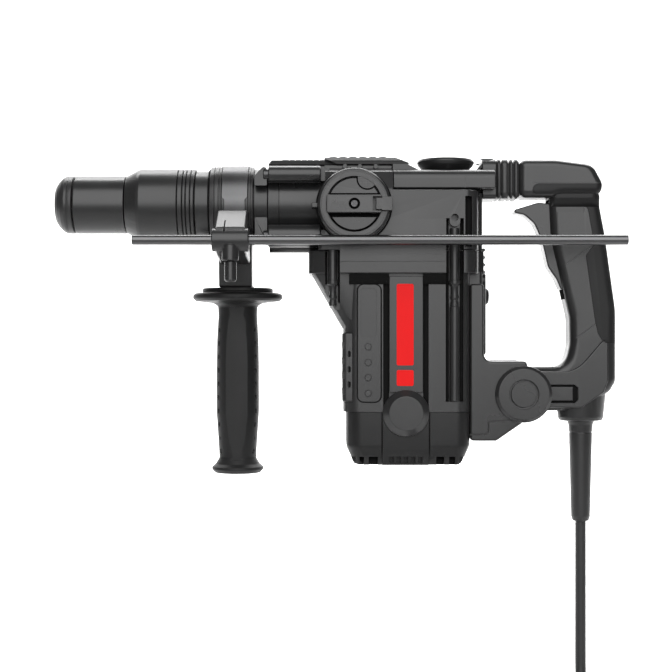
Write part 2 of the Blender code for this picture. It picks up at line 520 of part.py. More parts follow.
def make_rear_handle():
    loop = rounded([
        (HANDLE_FRONT, 95, 2), (-24, 95, 40), (6.5, 91, 12), (14.9, 75, 8), (12.7, 57, 20), (17.2, 33.5, 40),
        (25, -29.5, 60), (25, -81, 30), (17.2, -109, 8), (15, -117, 3), (-30, -117, 10), (-38, -108, 6),
        (-66, -108, 0), (-66, -88, 0), (-38, -88, 3), (-30, -77.5, 4), (-16.5, -77.5, 8), (-12.2, -58, 20),
        (-12.6, -36, 30), (-19, -8, 40), (-28, 30, 60), (-30, 64, 1), (HANDLE_FRONT, 64, 2)], step=24)
    rubber = [Vector(p) for p in (
        (40, 76), (1.2, 76), (0.4, 55.4), (5.8, 33.2), (5.8, 23.3), (0.5, 16), (8.7, -40.9), (11.9, -52.9),
        (16.7, -56.5), (40, -56.5))]
    trigger_room = [Vector(p) for p in ((-50, 62.2), (-8, 62.2), (-8, -6), (-14, -24), (-40, -24))]
    shells = []
    for side, sign in SIDES:
        near, far = sorted((sign * 0.15, sign * GRIP_HALF))
        shell = prism(f"handle_shell_{side}", "Y", loop, near, far, "housing")
        bar = rounded([(HANDLE_FRONT + 0.4, 64.4, 2), (-16, 64.4, 4), (-10, 90.5, 8), (-24, 94.6, 30),
                       (HANDLE_FRONT + 0.4, 94.6, 2)])
        near, far = sorted((sign * 0.15, sign * TOP_BAR_HALF))
        lower = rounded([(-27, -77.8, 3), (-15, -77.8, 6), (-7, -64, 10), (20, -84, 8), (15, -116.6, 4),
                         (-27, -116.6, 3)])
        low_near, low_far = sorted((sign * 0.15, sign * ARM_LOW_HALF))
        join(shell, prism(f"top_bar_{side}", "Y", bar, near, far),
             prism(f"lower_arm_{side}", "Y", lower, low_near, low_far))
        tongue_low, tongue_high = sorted((sign * TONGUE_HALF, sign * 60))
        room_low, room_high = sorted((sign * -5, sign * 10.6))
        rubber_low, rubber_high = sorted((sign * -5, sign * 40))
        cut(shell, rod(f"cheek_room_{side}", "Y", (PIVOT_X, PIVOT_Z), tongue_low, tongue_high, 26.5),
            rod(f"pivot_bore_{side}", "Y", (PIVOT_X, PIVOT_Z), -60, 60, 6.4),
            prism(f"trigger_room_{side}", "Y", trigger_room, room_low, room_high),
            box(f"switch_room_{side}", (-14, room_low, 2), (3, room_high, 54)),
            prism(f"rubber_room_{side}", "Y", shrunk(rubber, -GAP), rubber_low, rubber_high),
            rod(f"boot_room_{side}", "Z", (CORD_X, 0), -150, -100, 8.4))
        shells.append(shell)

    overmould = prism("grip_rubber", "Y", rubber, -18, 18, "rubber")
    trim = prism("rubber_limit", "Y", loop, -17.6, 17.6)
    combine(overmould, "INTERSECT", trim)
    switch = box("switch_unit", (-13, -9.5, 4), (-0.5, 9.5, 50), "trim")
    boot = turned("cord_boot", "Z", (CORD_X, 0), [
        (-103, 0), (-103, 8), (BOOT_TOP - GAP, 8), (BOOT_TOP - GAP, 11.6), (-124, 11.4), (-126, 10.6), (-135, 10.1),
        (-137, 9.7), (-170, 9.2), (BOOT_LOW, 8.6), (BOOT_LOW, 0)], "rubber", 16)
    trigger_side = rounded([
        (-58, 51, 1.5), (-57.6, 54.5, 1.5), (-38, 60.2, 8), (-24.5, 58.5, 2), (-19.5, 30, 20), (-15, -8, 2),
        (-18.5, -16.5, 2), (-26, -4, 6), (-34.5, 12, 14), (-39.5, 32, 14), (-44.5, 45.5, 8)])
    trigger = prism("trigger", "Y", trigger_side, -10.2, 10.2, "trim", 1.5)
    handle = body_empty("rear_handle_axis", (PIVOT_X, 0, PIVOT_Z), *shells, overmould, switch, boot)
    body_empty("trigger_axis", (-18, 0, -12), trigger, parent=handle)

    sleeve = rounded([(-18.5, 62.8, 4), (18.5, 62.8, 4), (18.5, 95, 6), (-18.5, 95, 6)])
    prism("bellows", "X", sleeve, -73.9 + GAP, HANDLE_FRONT - GAP, "rubber")


# ---------------------------------------------------------------- cord

def smooth_route(points, count):
    """Points read from a Catmull-Rom curve through the route's own points."""
    ends = [points[0] * 2 - points[1], *points, points[-1] * 2 - points[-2]]
    read = []
    for i in range(count):
        place = (len(points) - 1) * i / (count - 1)
        k = min(int(place), len(points) - 2)
        t = place - k
        a, b, c, d = ends[k:k + 4]
        read.append((b * 2 + (c - a) * t + (a * 2 - b * 5 + c * 4 - d) * t * t
                     + (b * 3 - a - c * 3 + d) * t ** 3) / 2)
    return read


def tube(name, points, count, finish="cable"):
    curve = bpy.data.curves.new(name, "CURVE")
    curve.dimensions = "3D"
    curve.bevel_depth = CORD_R * MM
    curve.bevel_resolution = 3
    curve.use_fill_caps = True
    route = smooth_route([Vector(p) for p in points], count)
    spline = curve.splines.new("POLY")
    spline.points.add(len(route) - 1)
    for slot, point in zip(spline.points, route):
        slot.co = (*(point * MM), 1)
    curve.materials.append(finish_of(finish))
    made = bpy.data.objects.new(name, curve)
    bpy.context.collection.objects.link(made)
    return made


def make_cord():
    tube("cord_lead", [
        (CORD_X, 0, BOOT_LOW - GAP), (CORD_X, 0, -240), (CORD_X, 0, -275), (CORD_X, -0.4, -305),
        (CORD_X, -2.5, -332), (CORD_X, -9, -355), (CORD_X, -13.5, -363)], 12)
    half = CORD_R * COIL_COLUMNS
    turned("cord_coil", "Z", (COIL_X, COIL_Y), [
        (FLOOR_Z, COIL_R - half + 3), (FLOOR_Z, COIL_R + half - 3), (FLOOR_Z + 3, COIL_R + half),
        (FLOOR_Z + 2 * CORD_R * COIL_ROWS - 3, COIL_R + half), (FLOOR_Z + 2 * CORD_R * COIL_ROWS, COIL_R + half - 3),
        (FLOOR_Z + 2 * CORD_R * COIL_ROWS, COIL_R - half + 3), (FLOOR_Z + 2 * CORD_R * COIL_ROWS - 3, COIL_R - half),
        (FLOOR_Z + 3, COIL_R - half)], "cable", 24)
    tail_y = COIL_Y - COIL_R - 2 * CORD_R
    axis_z = FLOOR_Z + PLUG_R
    tube("cord_tail", [
        (COIL_X - 38, tail_y, FLOOR_Z + CORD_R), (COIL_X - 46, tail_y, FLOOR_Z + 6.5),
        (COIL_X - 62, tail_y, FLOOR_Z + 15), (PLUG_X + 5, tail_y, axis_z - 0.2), (PLUG_X + GAP, tail_y, axis_z)], 8)
    plug = turned("plug", "X", (tail_y, axis_z), [
        (PLUG_X - 56, 0), (PLUG_X - 56, PLUG_R), (PLUG_X - 40, PLUG_R), (PLUG_X - 34, 15.5), (PLUG_X - 20, 12),
        (PLUG_X, 7), (PLUG_X, 0)], "rubber", 16)
    for side, sign in SIDES:
        pin = rod(f"plug_pin_{side}", "X", (tail_y + sign * 9.5, axis_z), PLUG_X - 75, PLUG_X - 55, 2.4, "steel", 12)
        join(plug, pin)


def main():
    for old in list(bpy.data.objects):
        bpy.data.objects.remove(old, do_unlink=True)
    make_chuck()
    make_piston()
    make_gears()
    make_motor()
    make_gear_case()
    make_motor_case()
    make_pivot_bracket()
    make_mode_dial()
    make_side_handle()
    make_rear_handle()
    make_cord()


main()
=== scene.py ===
"""Looks of a corded rotary hammer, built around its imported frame.

The nose points to -X, +Z is up, and the side with the mode dial faces -Y. Helpers take millimetres and
build in metres. Each shell is cut from closed solids, its edges are rounded, and it rides on its body.
"""

import json
import math

import bmesh
import bpy
from mathutils import Matrix, Vector


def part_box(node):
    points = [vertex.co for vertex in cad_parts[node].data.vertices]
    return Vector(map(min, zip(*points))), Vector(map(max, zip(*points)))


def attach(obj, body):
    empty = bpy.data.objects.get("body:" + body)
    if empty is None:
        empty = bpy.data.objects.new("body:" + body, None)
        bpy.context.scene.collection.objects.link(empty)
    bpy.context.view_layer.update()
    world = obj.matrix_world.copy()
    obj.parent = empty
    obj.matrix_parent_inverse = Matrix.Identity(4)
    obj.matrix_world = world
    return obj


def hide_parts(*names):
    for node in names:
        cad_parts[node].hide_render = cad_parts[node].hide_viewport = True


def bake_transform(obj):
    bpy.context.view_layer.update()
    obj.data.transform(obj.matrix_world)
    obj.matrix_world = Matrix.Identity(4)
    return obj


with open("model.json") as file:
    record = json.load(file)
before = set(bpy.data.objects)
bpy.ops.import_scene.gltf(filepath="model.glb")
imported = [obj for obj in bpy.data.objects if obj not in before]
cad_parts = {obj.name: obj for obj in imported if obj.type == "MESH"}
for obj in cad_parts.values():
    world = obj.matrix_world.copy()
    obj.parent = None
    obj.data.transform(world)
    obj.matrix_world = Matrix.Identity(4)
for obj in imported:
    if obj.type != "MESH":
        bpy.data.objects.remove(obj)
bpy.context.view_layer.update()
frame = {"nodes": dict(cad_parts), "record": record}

MM = 0.001
SIDES = (("left", -1), ("right", 1))


def span(node):
    """The lowest and highest x, y and z of a CAD node at rest, in millimetres."""
    low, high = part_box(node)
    return [(a / MM, b / MM) for a, b in zip(low, high)]


def middle(node, axis):
    low, high = span(node)["XYZ".index(axis)]
    return (low + high) / 2


# Axes, read from the frame
BORE_Z = middle("tool_holder", "Z")
MOTOR_X, MOTOR_Z = middle("brush_cap_left", "X"), middle("brush_cap_left", "Z")
GRIP_X = middle("side_grip", "X")
ROD_Y, ROD_Z = middle("depth_rod", "Y"), middle("depth_rod", "Z")
PIVOT_X, PIVOT_Z = middle("pivot_pin", "X"), middle("pivot_pin", "Z")
GREASE_X = middle("grease_cap", "X")
CORD_X = middle("cord_boot", "X")
BUTTON_Z = middle("lock_on_button", "Z")
DIAL_X, DIAL_Z = -192.0, 54.2

# Surfaces, read from the frame
CAP_FRONT, CAP_BACK = span("dust_cap")[0]
NOSE_FRONT = span("nose_sleeve")[0][0]
SLEEVE_FRONT, SLEEVE_BACK = span("locking_sleeve")[0]
COLLAR_FRONT, COLLAR_BACK = -310.5, -274.5
HOUSING_FRONT = span("gear_housing")[0][0]
CASE_LOW, CASE_TOP = span("gear_housing")[2]
CASE_HALF = span("gear_housing")[1][1]
CASE_BACK = span("gear_housing")[0][1]
SEAM_Z = 67.0
MOTOR_HALF = 44.0
MOTOR_FRONT, MOTOR_BACK = -200.8, -97.4
SPINE_BACK = span("motor_housing")[0][1]
MOTOR_LOW = span("motor_housing")[2][0]
CAP_LOW = span("end_cap")[2][0]
HANDLE_FRONT = -55.2
BOOT_LOW = span("cord_boot")[2][0]


# ---------------------------------------------------------------- materials

class Nodes:
    """A short way to write one material's node tree; an input's name takes _ for each space."""

    def __init__(self, name):
        self.material = bpy.data.materials.new(name)
        self.material.use_nodes = True
        self.tree = self.material.node_tree
        self.shader = self.tree.nodes["Principled BSDF"]

    def add(self, kind, **values):
        node = self.tree.nodes.new(kind)
        for key, value in values.items():
            if hasattr(node, key):
                setattr(node, key, value)
            else:
                node.inputs[key.replace("_", " ")].default_value = value
        return node

    def link(self, source, target):
        self.tree.links.new(source, target)


def surface(name, colour, roughness, metallic=0.0, grain=0.12, grain_size=1.0, patch=0.12, wear=0.1,
        streak=None, specular=0.5):
    """A surface with fine grain in relief, slow changes of tone and gloss, and lighter worn edges."""
    n = Nodes(name)
    place = n.add("ShaderNodeTexCoord").outputs["Object"]
    if streak:
        stretch = n.add("ShaderNodeMapping")
        stretch.inputs["Scale"].default_value = streak
        n.link(place, stretch.inputs["Vector"])
        place = stretch.outputs["Vector"]
    slow = n.add("ShaderNodeTexNoise", Scale=18.0, Detail=4.0)
    fine = n.add("ShaderNodeTexNoise", Scale=2600.0 / grain_size, Detail=3.0, Roughness=0.65)
    for texture in (slow, fine):
        n.link(place, texture.inputs["Vector"])

    tone = n.add("ShaderNodeValToRGB")
    tone.color_ramp.elements[0].position, tone.color_ramp.elements[1].position = 0.3, 0.7
    tone.color_ramp.elements[0].color = (*(c * (1 - patch) for c in colour), 1)
    tone.color_ramp.elements[1].color = (*(min(1, c * (1 + patch)) for c in colour), 1)
    n.link(slow.outputs["Fac"], tone.inputs["Fac"])

    speckle = n.add("ShaderNodeMix", data_type="RGBA", blend_type="MULTIPLY")
    speckle.inputs["Factor"].default_value = 0.25
    n.link(tone.outputs["Color"], speckle.inputs["A"])
    n.link(fine.outputs["Color"], speckle.inputs["B"])

    edge = n.add("ShaderNodeMapRange", From_Min=0.52, From_Max=0.62, To_Min=0.0, To_Max=wear)
    n.link(n.add("ShaderNodeNewGeometry").outputs["Pointiness"], edge.inputs["Value"])
    worn = n.add("ShaderNodeMix", data_type="RGBA")
    worn.inputs["B"].default_value = (*(min(1, c * 3 + 0.08) for c in colour), 1)
    n.link(edge.outputs["Result"], worn.inputs["Factor"])
    n.link(speckle.outputs["Result"], worn.inputs["A"])
    n.link(worn.outputs["Result"], n.shader.inputs["Base Color"])

    gloss = n.add("ShaderNodeMapRange", To_Min=roughness - 0.07, To_Max=roughness + 0.07)
    n.link(slow.outputs["Fac"], gloss.inputs["Value"])
    n.link(gloss.outputs["Result"], n.shader.inputs["Roughness"])

    relief = n.add("ShaderNodeBump", Strength=grain, Distance=0.0001)
    n.link(fine.outputs["Fac"], relief.inputs["Height"])
    n.link(relief.outputs["Normal"], n.shader.inputs["Normal"])
    n.shader.inputs["Metallic"].default_value = metallic
    n.shader.inputs["Specular IOR Level"].default_value = specular
    return n.material


SHELL = surface("shell_plastic", (0.021, 0.021, 0.0214), 0.31, grain=0.15)
BASE = surface("base_plastic", (0.013, 0.013, 0.0133), 0.36, grain=0.15, specular=0.3)
CASTING = surface("case_paint", (0.021, 0.021, 0.0214), 0.3, grain=0.12, grain_size=1.6)
TRIM = surface("trim_plastic", (0.022, 0.022, 0.0224), 0.28, grain=0.08)
RUBBER = surface("soft_rubber", (0.017, 0.017, 0.0173), 0.45, grain=0.35, grain_size=1.3, patch=0.2,
    wear=0.03, specular=0.22)
SEAL = surface("seal_rubber", (0.028, 0.028, 0.0284), 0.34, grain=0.2, wear=0.04, specular=0.45)
# Flat dull black for strips, rings and sheets set into grooves, gaps and hollows: painted shade.
SHADE_BLACK = surface("painted_shade_black", (0.006, 0.006, 0.006), 0.8, wear=0.01, specular=0.08)
STEEL = surface("brushed_steel", (0.13, 0.13, 0.132), 0.3, 1.0, grain=0.15, streak=(0.05, 1, 1), wear=0.15)
BAND = surface("band_steel", (0.12, 0.12, 0.122), 0.4, 1.0, grain=0.15, streak=(1, 0.1, 0.1), wear=0.15)
DARK_STEEL = surface("dark_steel", (0.08, 0.08, 0.082), 0.36, 1.0, grain=0.2, wear=0.2)
COPPER = surface("copper_windings", (0.62, 0.27, 0.12), 0.4, 1.0, grain=0.6, streak=(1, 1, 0.1), wear=0.2)
CARBON = surface("carbon_block", (0.03, 0.03, 0.03), 0.6)
CABLE = surface("cable_sheath", (0.018, 0.018, 0.0184), 0.5, grain=0.3, wear=0.02)
RED = surface("red_inlay", (0.86, 0.002, 0.003), 0.5, grain=0.1, patch=0.04, wear=0.02, specular=0.2)

SLOT_LOOKS = {"housing": SHELL, "casting": CASTING, "rubber": RUBBER, "trim": TRIM, "steel": STEEL,
    "dark_steel": DARK_STEEL, "copper": COPPER, "carbon": CARBON, "cable": CABLE}
LOOK_SLOTS = {look.name: slot for slot, look in SLOT_LOOKS.items()}
LOOK_SLOTS |= {BASE.name: "housing", SEAL.name: "rubber", SHADE_BLACK.name: "rubber", BAND.name: "steel",
    RED.name: "trim"}


# ---------------------------------------------------------------- shapes

def made(name, points, faces):
    """An object from points in millimetres, with its faces turned outwards."""
    mesh = bpy.data.meshes.new(name)
    mesh.from_pydata([Vector(p) * MM for p in points], [], faces)
    work = bmesh.new()
    work.from_mesh(mesh)
    bmesh.ops.recalc_face_normals(work, faces=work.faces)
    work.to_mesh(mesh)
    work.free()
    obj = bpy.data.objects.new(name, mesh)
    bpy.context.scene.collection.objects.link(obj)
    return obj


def placed(axis, along, u, v):
    """A point from its place along an axis and its two coordinates across it."""
    return {"X": (along, u, v), "Y": (u, along, v), "Z": (u, v, along)}[axis]


def rounded(corners, step=9):
    """The outline through (u, v, radius) corners, each rounded by an arc of that radius."""
    outline = []
    for i, (u, v, *radius) in enumerate(corners):
        here = Vector((u, v))
        back = (Vector(corners[i - 1][:2]) - here).normalized()
        on = (Vector(corners[(i + 1) % len(corners)][:2]) - here).normalized()
        half = back.angle(on) / 2
        if not radius or not radius[0] or half > math.radians(88.5):
            outline.append(here)
            continue
        reach = radius[0] / math.tan(half)
        centre = here + (back + on).normalized() * (radius[0] / math.sin(half))
        first = here + back * reach - centre
        turn = (here + on * reach - centre).angle_signed(first)
        count = max(2, round(abs(math.degrees(turn)) / step))
        for k in range(count + 1):
            outline.append(centre + Matrix.Rotation(turn * k / count, 2) @ first)
    return outline


def shrunk(outline, by):
    """The outline moved inwards by a distance, corner for corner."""
    area = sum(a.cross(b) for a, b in zip(outline, outline[1:] + outline[:1]))
    moved = []
    for i, here in enumerate(outline):
        back = (here - outline[i - 1]).normalized()
        on = (outline[(i + 1) % len(outline)] - here).normalized()
        inward = (back + on).normalized().orthogonal() * math.copysign(1, area)
        moved.append(here + inward * by / max(0.4, math.cos(back.angle(on) / 2)))
    return moved


def loft(name, axis, layers):
    """A closed body through outlines of equal point count, each at its place along an axis."""
    points = [placed(axis, along, p.x, p.y) for along, outline in layers for p in outline]
    count = len(layers[0][1])
    faces = [list(range(count)), list(range(len(points) - count, len(points)))]
    for start in range(0, len(points) - count, count):
        for i in range(count):
            j = (i + 1) % count
            faces.append([start + i, start + j, start + count + j, start + count + i])
    return made(name, points, faces)


def wide_enough(corners, rim):
    """The corners, with every outward one rounded at least as far as the rim reaches in."""
    area = sum(a[0] * b[1] - a[1] * b[0] for a, b in zip(corners, corners[1:] + corners[:1]))
    kept = []
    for i, (u, v, *radius) in enumerate(corners):
        back, on = corners[i - 1], corners[(i + 1) % len(corners)]
        turn = (u - back[0]) * (on[1] - v) - (v - back[1]) * (on[0] - u)
        radius = radius[0] if radius else 0
        kept.append((u, v, max(radius, rim + 0.15) if turn * area > 0 else radius))
    return kept


def prism(name, axis, corners, low, high, rim=0.0, steps=4):
    """An outline of (u, v, radius) corners pushed along an axis, with both rims rounded over if asked."""
    if not rim:
        outline = rounded(corners)
        return loft(name, axis, [(low, outline), (high, outline)])
    outline = rounded(wide_enough(corners, rim))
    arc = [math.pi / 2 * k / steps for k in range(steps + 1)]
    insets = [(rim * (1 - math.cos(a)), shrunk(outline, rim * (1 - math.sin(a)))) for a in arc]
    return loft(name, axis, [(low + up, shape) for up, shape in insets]
        + [(high - up, shape) for up, shape in reversed(insets)])


def stroke(path, width):
    """The outline of an open path drawn with a given width."""
    path = [Vector(p) for p in path]
    left, right = [], []
    for i, here in enumerate(path):
        back = (here - path[i - 1]).normalized() if i else (path[1] - here).normalized()
        on = (path[i + 1] - here).normalized() if i + 1 < len(path) else back
        side = (back + on).normalized().orthogonal()
        reach = width / 2 / max(0.5, math.cos(back.angle(on) / 2))
        left.append(tuple(here + side * reach))
        right.append(tuple(here - side * reach))
    return left + right[::-1]


def hexagon(u, v, radius):
    return [(u + radius * math.cos(math.tau * i / 6), v + radius * math.sin(math.tau * i / 6))
        for i in range(6)]


def rect(u_low, u_high, v_low, v_high, radius=0):
    """The four corners of a rectangle."""
    return [(u_low, v_low, radius), (u_high, v_low, radius), (u_high, v_high, radius),
        (u_low, v_high, radius)]


def ring(low, high, inner, outer, fillet=0):
    """The section of a ring or disc for the lathe."""
    return [(low, inner), (low, outer, fillet), (high, outer, fillet), (high, inner)]


def symmetric(half):
    """A closed outline from its right half, with the same on the left, begun at the left's first corner."""
    left = [(-u, v, *r) for u, v, *r in half]
    return [left[0], *half, *left[:0:-1]]


def mirrored(half):
    """A closed outline from one half, with the same across v = 0."""
    return half + [(u, -v, *r) for u, v, *r in reversed(half)]


def moved(corners, u, v=0):
    """The corners shifted by u and v."""
    return [(a + u, b + v, *r) for a, b, *r in corners]


def across(sign, low, high):
    """The range between two distances from the middle plane, on the side that the sign gives."""
    return sorted((sign * low, sign * high))


def block(name, x, y, z, rim=0.0):
    """A box from its x, y and z ranges."""
    return prism(name, "Z", rect(*x, *y, rim), *z, rim)


def lathe(name, axis, centre, corners, sides=72):
    """A body turned about an axis through (along, radius, fillet) corners."""
    points, rings, faces = [], [], []
    for along, radius in rounded(corners, 15):
        count = sides if radius > 1e-3 else 1
        rings.append(range(len(points), len(points) + count))
        for i in range(count):
            angle = math.tau * (i + 0.5) / sides
            u = centre[0] + (radius * math.cos(angle) if count > 1 else 0)
            v = centre[1] + (radius * math.sin(angle) if count > 1 else 0)
            points.append(placed(axis, along, u, v))
    for a, b in zip(rings, rings[1:] + rings[:1]):
        if len(a) == len(b) == 1:
            continue
        for i in range(sides):
            loop = [a[i % len(a)], a[(i + 1) % len(a)], b[(i + 1) % len(b)], b[i % len(b)]]
            faces.append(list(dict.fromkeys(loop)))
    return made(name, points, faces)


def rod(name, axis, centre, low, high, radius, fillet=0.0, sides=48):
    return lathe(name, axis, centre, ring(low, high, 0, radius, fillet), sides)


def settle(obj):
    """Applies the object's modifiers to its mesh."""
    graph = bpy.context.evaluated_depsgraph_get()
    mesh = bpy.data.meshes.new_from_object(obj.evaluated_get(graph))
    obj.modifiers.clear()
    obj.data = mesh
    return obj


def combine(target, operation, tools):
    for tool in tools:
        modifier = target.modifiers.new(operation, "BOOLEAN")
        modifier.operation, modifier.solver, modifier.object = operation, "MANIFOLD", tool
    settle(target)
    for tool in tools:
        bpy.data.objects.remove(tool, do_unlink=True)
    return target


def join(target, *tools):
    return combine(target, "UNION", tools)


def cut(target, *tools):
    return combine(target, "DIFFERENCE", tools)


def keep(target, *tools):
    return combine(target, "INTERSECT", tools)


def soften(obj, width, segments=2, angle=28):
    """Rounds the object's sharp edges, so that they catch the light."""
    work = bmesh.new()
    work.from_mesh(obj.data)
    bmesh.ops.remove_doubles(work, verts=work.verts, dist=0.004 * MM)
    bmesh.ops.dissolve_limit(work, angle_limit=math.radians(0.4), verts=work.verts, edges=work.edges)
    work.to_mesh(obj.data)
    work.free()
    if width:
        bevel = obj.modifiers.new("rounded_edges", "BEVEL")
        bevel.width, bevel.segments, bevel.limit_method = width * MM, segments, "ANGLE"
        bevel.angle_limit, bevel.miter_outer = math.radians(angle), "MITER_ARC"
        settle(obj)
    obj.data.shade_smooth()
    even = obj.modifiers.new("even_shading", "WEIGHTED_NORMAL")
    even.weight, even.keep_sharp = 80, True
    return obj


def piece(obj, look, body, *nodes, slot=None, edge=0.0):
    """Finishes a mesh: its rounded edges, material and body, and the CAD nodes that it replaces; the slot
    argument is not used.
    """
    soften(obj, edge)
    obj.data.materials.clear()
    obj.data.materials.append(look)
    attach(obj, body)
    if nodes:
        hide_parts(*nodes)
    return obj


# ---------------------------------------------------------------- chuck

def make_chuck():
    bore = (0, BORE_Z)
    front, back, radius = CAP_FRONT + 0.8, CAP_BACK, 24.2
    cap = lathe("dust_cap_rubber", "X", bore,
        moved([(5, 9.6), (0, 11.8, 0.4), (0, 15.4, 1.0), (2.6, 19.4, 2), (5.6, 22.4, 2), (8.4, 23.9, 1.5),
        (10.4, 24.1), (10.6, 23.5), (11.2, 23.5), (11.4, 24.2)], front)
        + moved([(-0.9, radius, 0.3), (-0.7, radius - 1.2), (-0.4, radius - 1.2), (-0.4, 9.6)], back), 96)
    piece(cap, SEAL, "spindle", "dust_cap")
    cone = SLEEVE_FRONT + 2.6
    nose = lathe("nose_sleeve_shell", "X", bore,
        [(NOSE_FRONT + 0.2, 17.4), (NOSE_FRONT + 0.2, radius - 0.6, 0.3), (NOSE_FRONT + 0.9, radius, 0.4),
        (cone - 0.8, radius, 0.4), (cone - 0.8, 17.4)], 96)
    piece(nose, TRIM, "spindle", "nose_sleeve")

    outer = [(SLEEVE_FRONT + 1.8, 17.6)] + moved([(0, 23.4), (0, radius - 0.2, 0.3), (9.8, 29.2, 3),
        (12.4, 30, 3)], cone)
    for step in (14.2, 9.9, 7.0, 3.4):
        x = SLEEVE_BACK - step
        outer += moved([(-0.55, 30, 0.2), (-0.35, 28.9), (0.35, 28.9), (0.55, 30, 0.2)], x)
    outer += [(SLEEVE_BACK - 0.3, 30, 0.8), (SLEEVE_BACK - 0.3, 28.9), (-352, 28.9), (-352, 22),
        (-366, 22), (-366, 17.6)]
    piece(lathe("locking_sleeve_shell", "X", bore, outer, 96), SHELL, "locking_sleeve", "locking_sleeve")

    start, end = span("tool_holder")[0]
    holder = lathe("tool_holder_steel", "X", bore,
        [(start, 9.2), (start, 17, 0.5), (-340.7, 17), (-340.7, 21, 0.4), (-338, 21, 0.4), (-338, 17),
        (end, 17, 0.4), (end, 12.2), (-352, 12.2), (-352, 9.2)])
    for sign in (-1, 1):
        low, high = sorted((BORE_Z + sign * 6, BORE_Z + sign * 20))
        cut(holder, block("roller_slot", (-404, -388), (-3.4, 3.4), (low, high)))
    piece(holder, STEEL, "spindle", "tool_holder", edge=0.3)


# ---------------------------------------------------------------- gear case

def make_barrel():
    bore = (0, BORE_Z)
    start, end = span("barrel_housing")[0]
    collar = COLLAR_BACK + 0.3
    barrel = lathe("barrel_shell", "X", bore,
        [(start, 25), (start, 28, 0.6), (collar, 28), (collar + 0.4, 29.8, 0.3), (end, 29.8, 0.4),
        (end, 22.2), (-306, 22.2), (-306, 25)], 96)
    for sign in (-1, 1):
        upper = [(-273, 71.5, 1), (end, 71.5, 1), (end, 86.5, 2), (-266.5, 86.5, 2), (-273, 79.5, 1)]
        lower = [(-273, 46, 1), (-273, 30.6, 1), (-262, 24.4), (end, 24.4), (end, 46, 1)]
        join(barrel, prism("barrel_lug", "Y", upper, *across(sign, 12, 37)),
            prism("barrel_foot", "Y", lower, *across(sign, 8, 31)))
    cut(barrel, rod("neck_clearance", "X", bore, -280, end + 1, 22.2))
    piece(barrel, CASTING, "housing", "barrel_housing", edge=0.4)
    shadow = lathe("neck_shadow_ring", "X", bore,
        ring(COLLAR_FRONT - 1.8, COLLAR_FRONT - 0.5, 28.02, 29.4, 0.3), 96)
    piece(shadow, SHADE_BLACK, "housing")


def make_gear_case():
    bore = (0, BORE_Z)
    half = CASE_HALF
    section = symmetric([(half, CASE_LOW, 2), (half, 67, 8), (35, 83.5, 5), (22, 87), (22, CASE_TOP, 1.5)])
    case = prism("gear_case_shell", "X", section, -216, -160.3, 0.6)
    plan = mirrored([(-221, -half, 4), (-90.8, -half, 12), (-90.8, -27, 2), (CASE_BACK, -23, 3)])
    join(case, prism("case_rear", "Z", plan, CASE_LOW, SEAM_Z, 0.8))
    for sign in (-1, 1):
        cut(case, block("case_face", (-224, -215.4), across(sign, 20, 60), (31, 90)))
    join(case, lathe("case_barrel", "X", bore,
        [(HOUSING_FRONT, 0), (HOUSING_FRONT, 31, 0.8), (-253.8, 31), (-253.6, 30.5), (-253.1, 30.5),
        (-252.9, 31), (-208, 31), (-208, 0)]), prism("case_ridge", "X",
        symmetric([(20, 76), (20, CASE_TOP - 0.2, 2)]), HOUSING_FRONT + 0.2, -210),
        rod("case_keel", "X", (0, 24.6), HOUSING_FRONT + 0.4, -210, 6))
    for sign in (-1, 1):
        for z, y, radius in ((80.6, 35, 6.9), (30.5, 34, 9.3)):
            join(case, rod("screw_boss", "X", (sign * y, z), HOUSING_FRONT + 1, -219, radius, 1.0),
                block("boss_web", (HOUSING_FRONT + 4, -212), across(sign, 16, y - 2), (z - 5, z + 5)))
    cut(case, rod("tube_bore", "X", bore, -270, -205, 24),
        rod("gear_bore", "X", bore, -211.5, -163, 29.5),
        block("crank_room", (-167, -89), (-29, 29), (10, 64.8)),
        block("gear_room", (-210, -149), (-30, 30), (10, 34)),
        rod("grease_hole", "Z", (GREASE_X, 0), 60, 80, 14))
    for sign in (-1, 1):
        near, far = across(sign, half - 1.8, half + 5)
        if sign < 0:
            cut(case, lathe("dial_groove", "Y", (DIAL_X, DIAL_Z), ring(near, far, 29.5, 31), 96))
        cut(case, block("screw_slot", (-117.6, -103.4), across(sign, 39, 60), (10, 44)),
            block("rear_groove", (-102.2, -96.6), across(sign, 39.5, 60), (21, 62)))
        tongue = prism("screw_tongue", "Y", [(-114.8, 46), (-114.8, 37.5, 4), (-106.2, 37.5, 4),
            (-106.2, 46)], *across(sign, 36, half - 0.5))
        notch = rod("tongue_notch", "Y", (-110.5, 44.6), *across(sign, 38, 60), 3.0)
        cut(join(case, tongue), notch)
    cut(case, rod("dial_hole", "Y", (DIAL_X, DIAL_Z), -70, -20, 6))
    piece(case, CASTING, "housing", "gear_housing", edge=0.4)

    for sign in (-1, 1):
        strip = block("rear_groove_shadow", (-102.1, -96.7), across(sign, 39.6, 41.4), (21.1, 61.9))
        piece(strip, SHADE_BLACK, "housing")
        for low, high in ((-117.5, -115.2), (-105.8, -103.5)):
            shade = block("screw_slot_shadow", (low, high), across(sign, 39.1, 40.6), (18.6, 43.9))
            piece(shade, SHADE_BLACK, "housing")
        for z, y in ((80.6, 35), (30.5, 34)):
            head = rod("case_screw", "X", (sign * y, z), HOUSING_FRONT - 3.2, HOUSING_FRONT + 2, 4.5, 0.8)
            cut(head, prism("hex_socket", "X", hexagon(sign * y, z, 2.4), HOUSING_FRONT - 5,
                HOUSING_FRONT - 1.2))
            piece(head, DARK_STEEL, "housing", edge=0.15)
    groove = lathe("dial_groove_shadow", "Y", (DIAL_X, DIAL_Z), ring(0.6 - half, 1.7 - half, 29.6, 30.9),
        96)
    piece(groove, SHADE_BLACK, "housing")
    piece(block("dial_index", (-226.2, -221.2), (-48.6, -30), (52.6, 56.4), 0.5), TRIM, "housing")


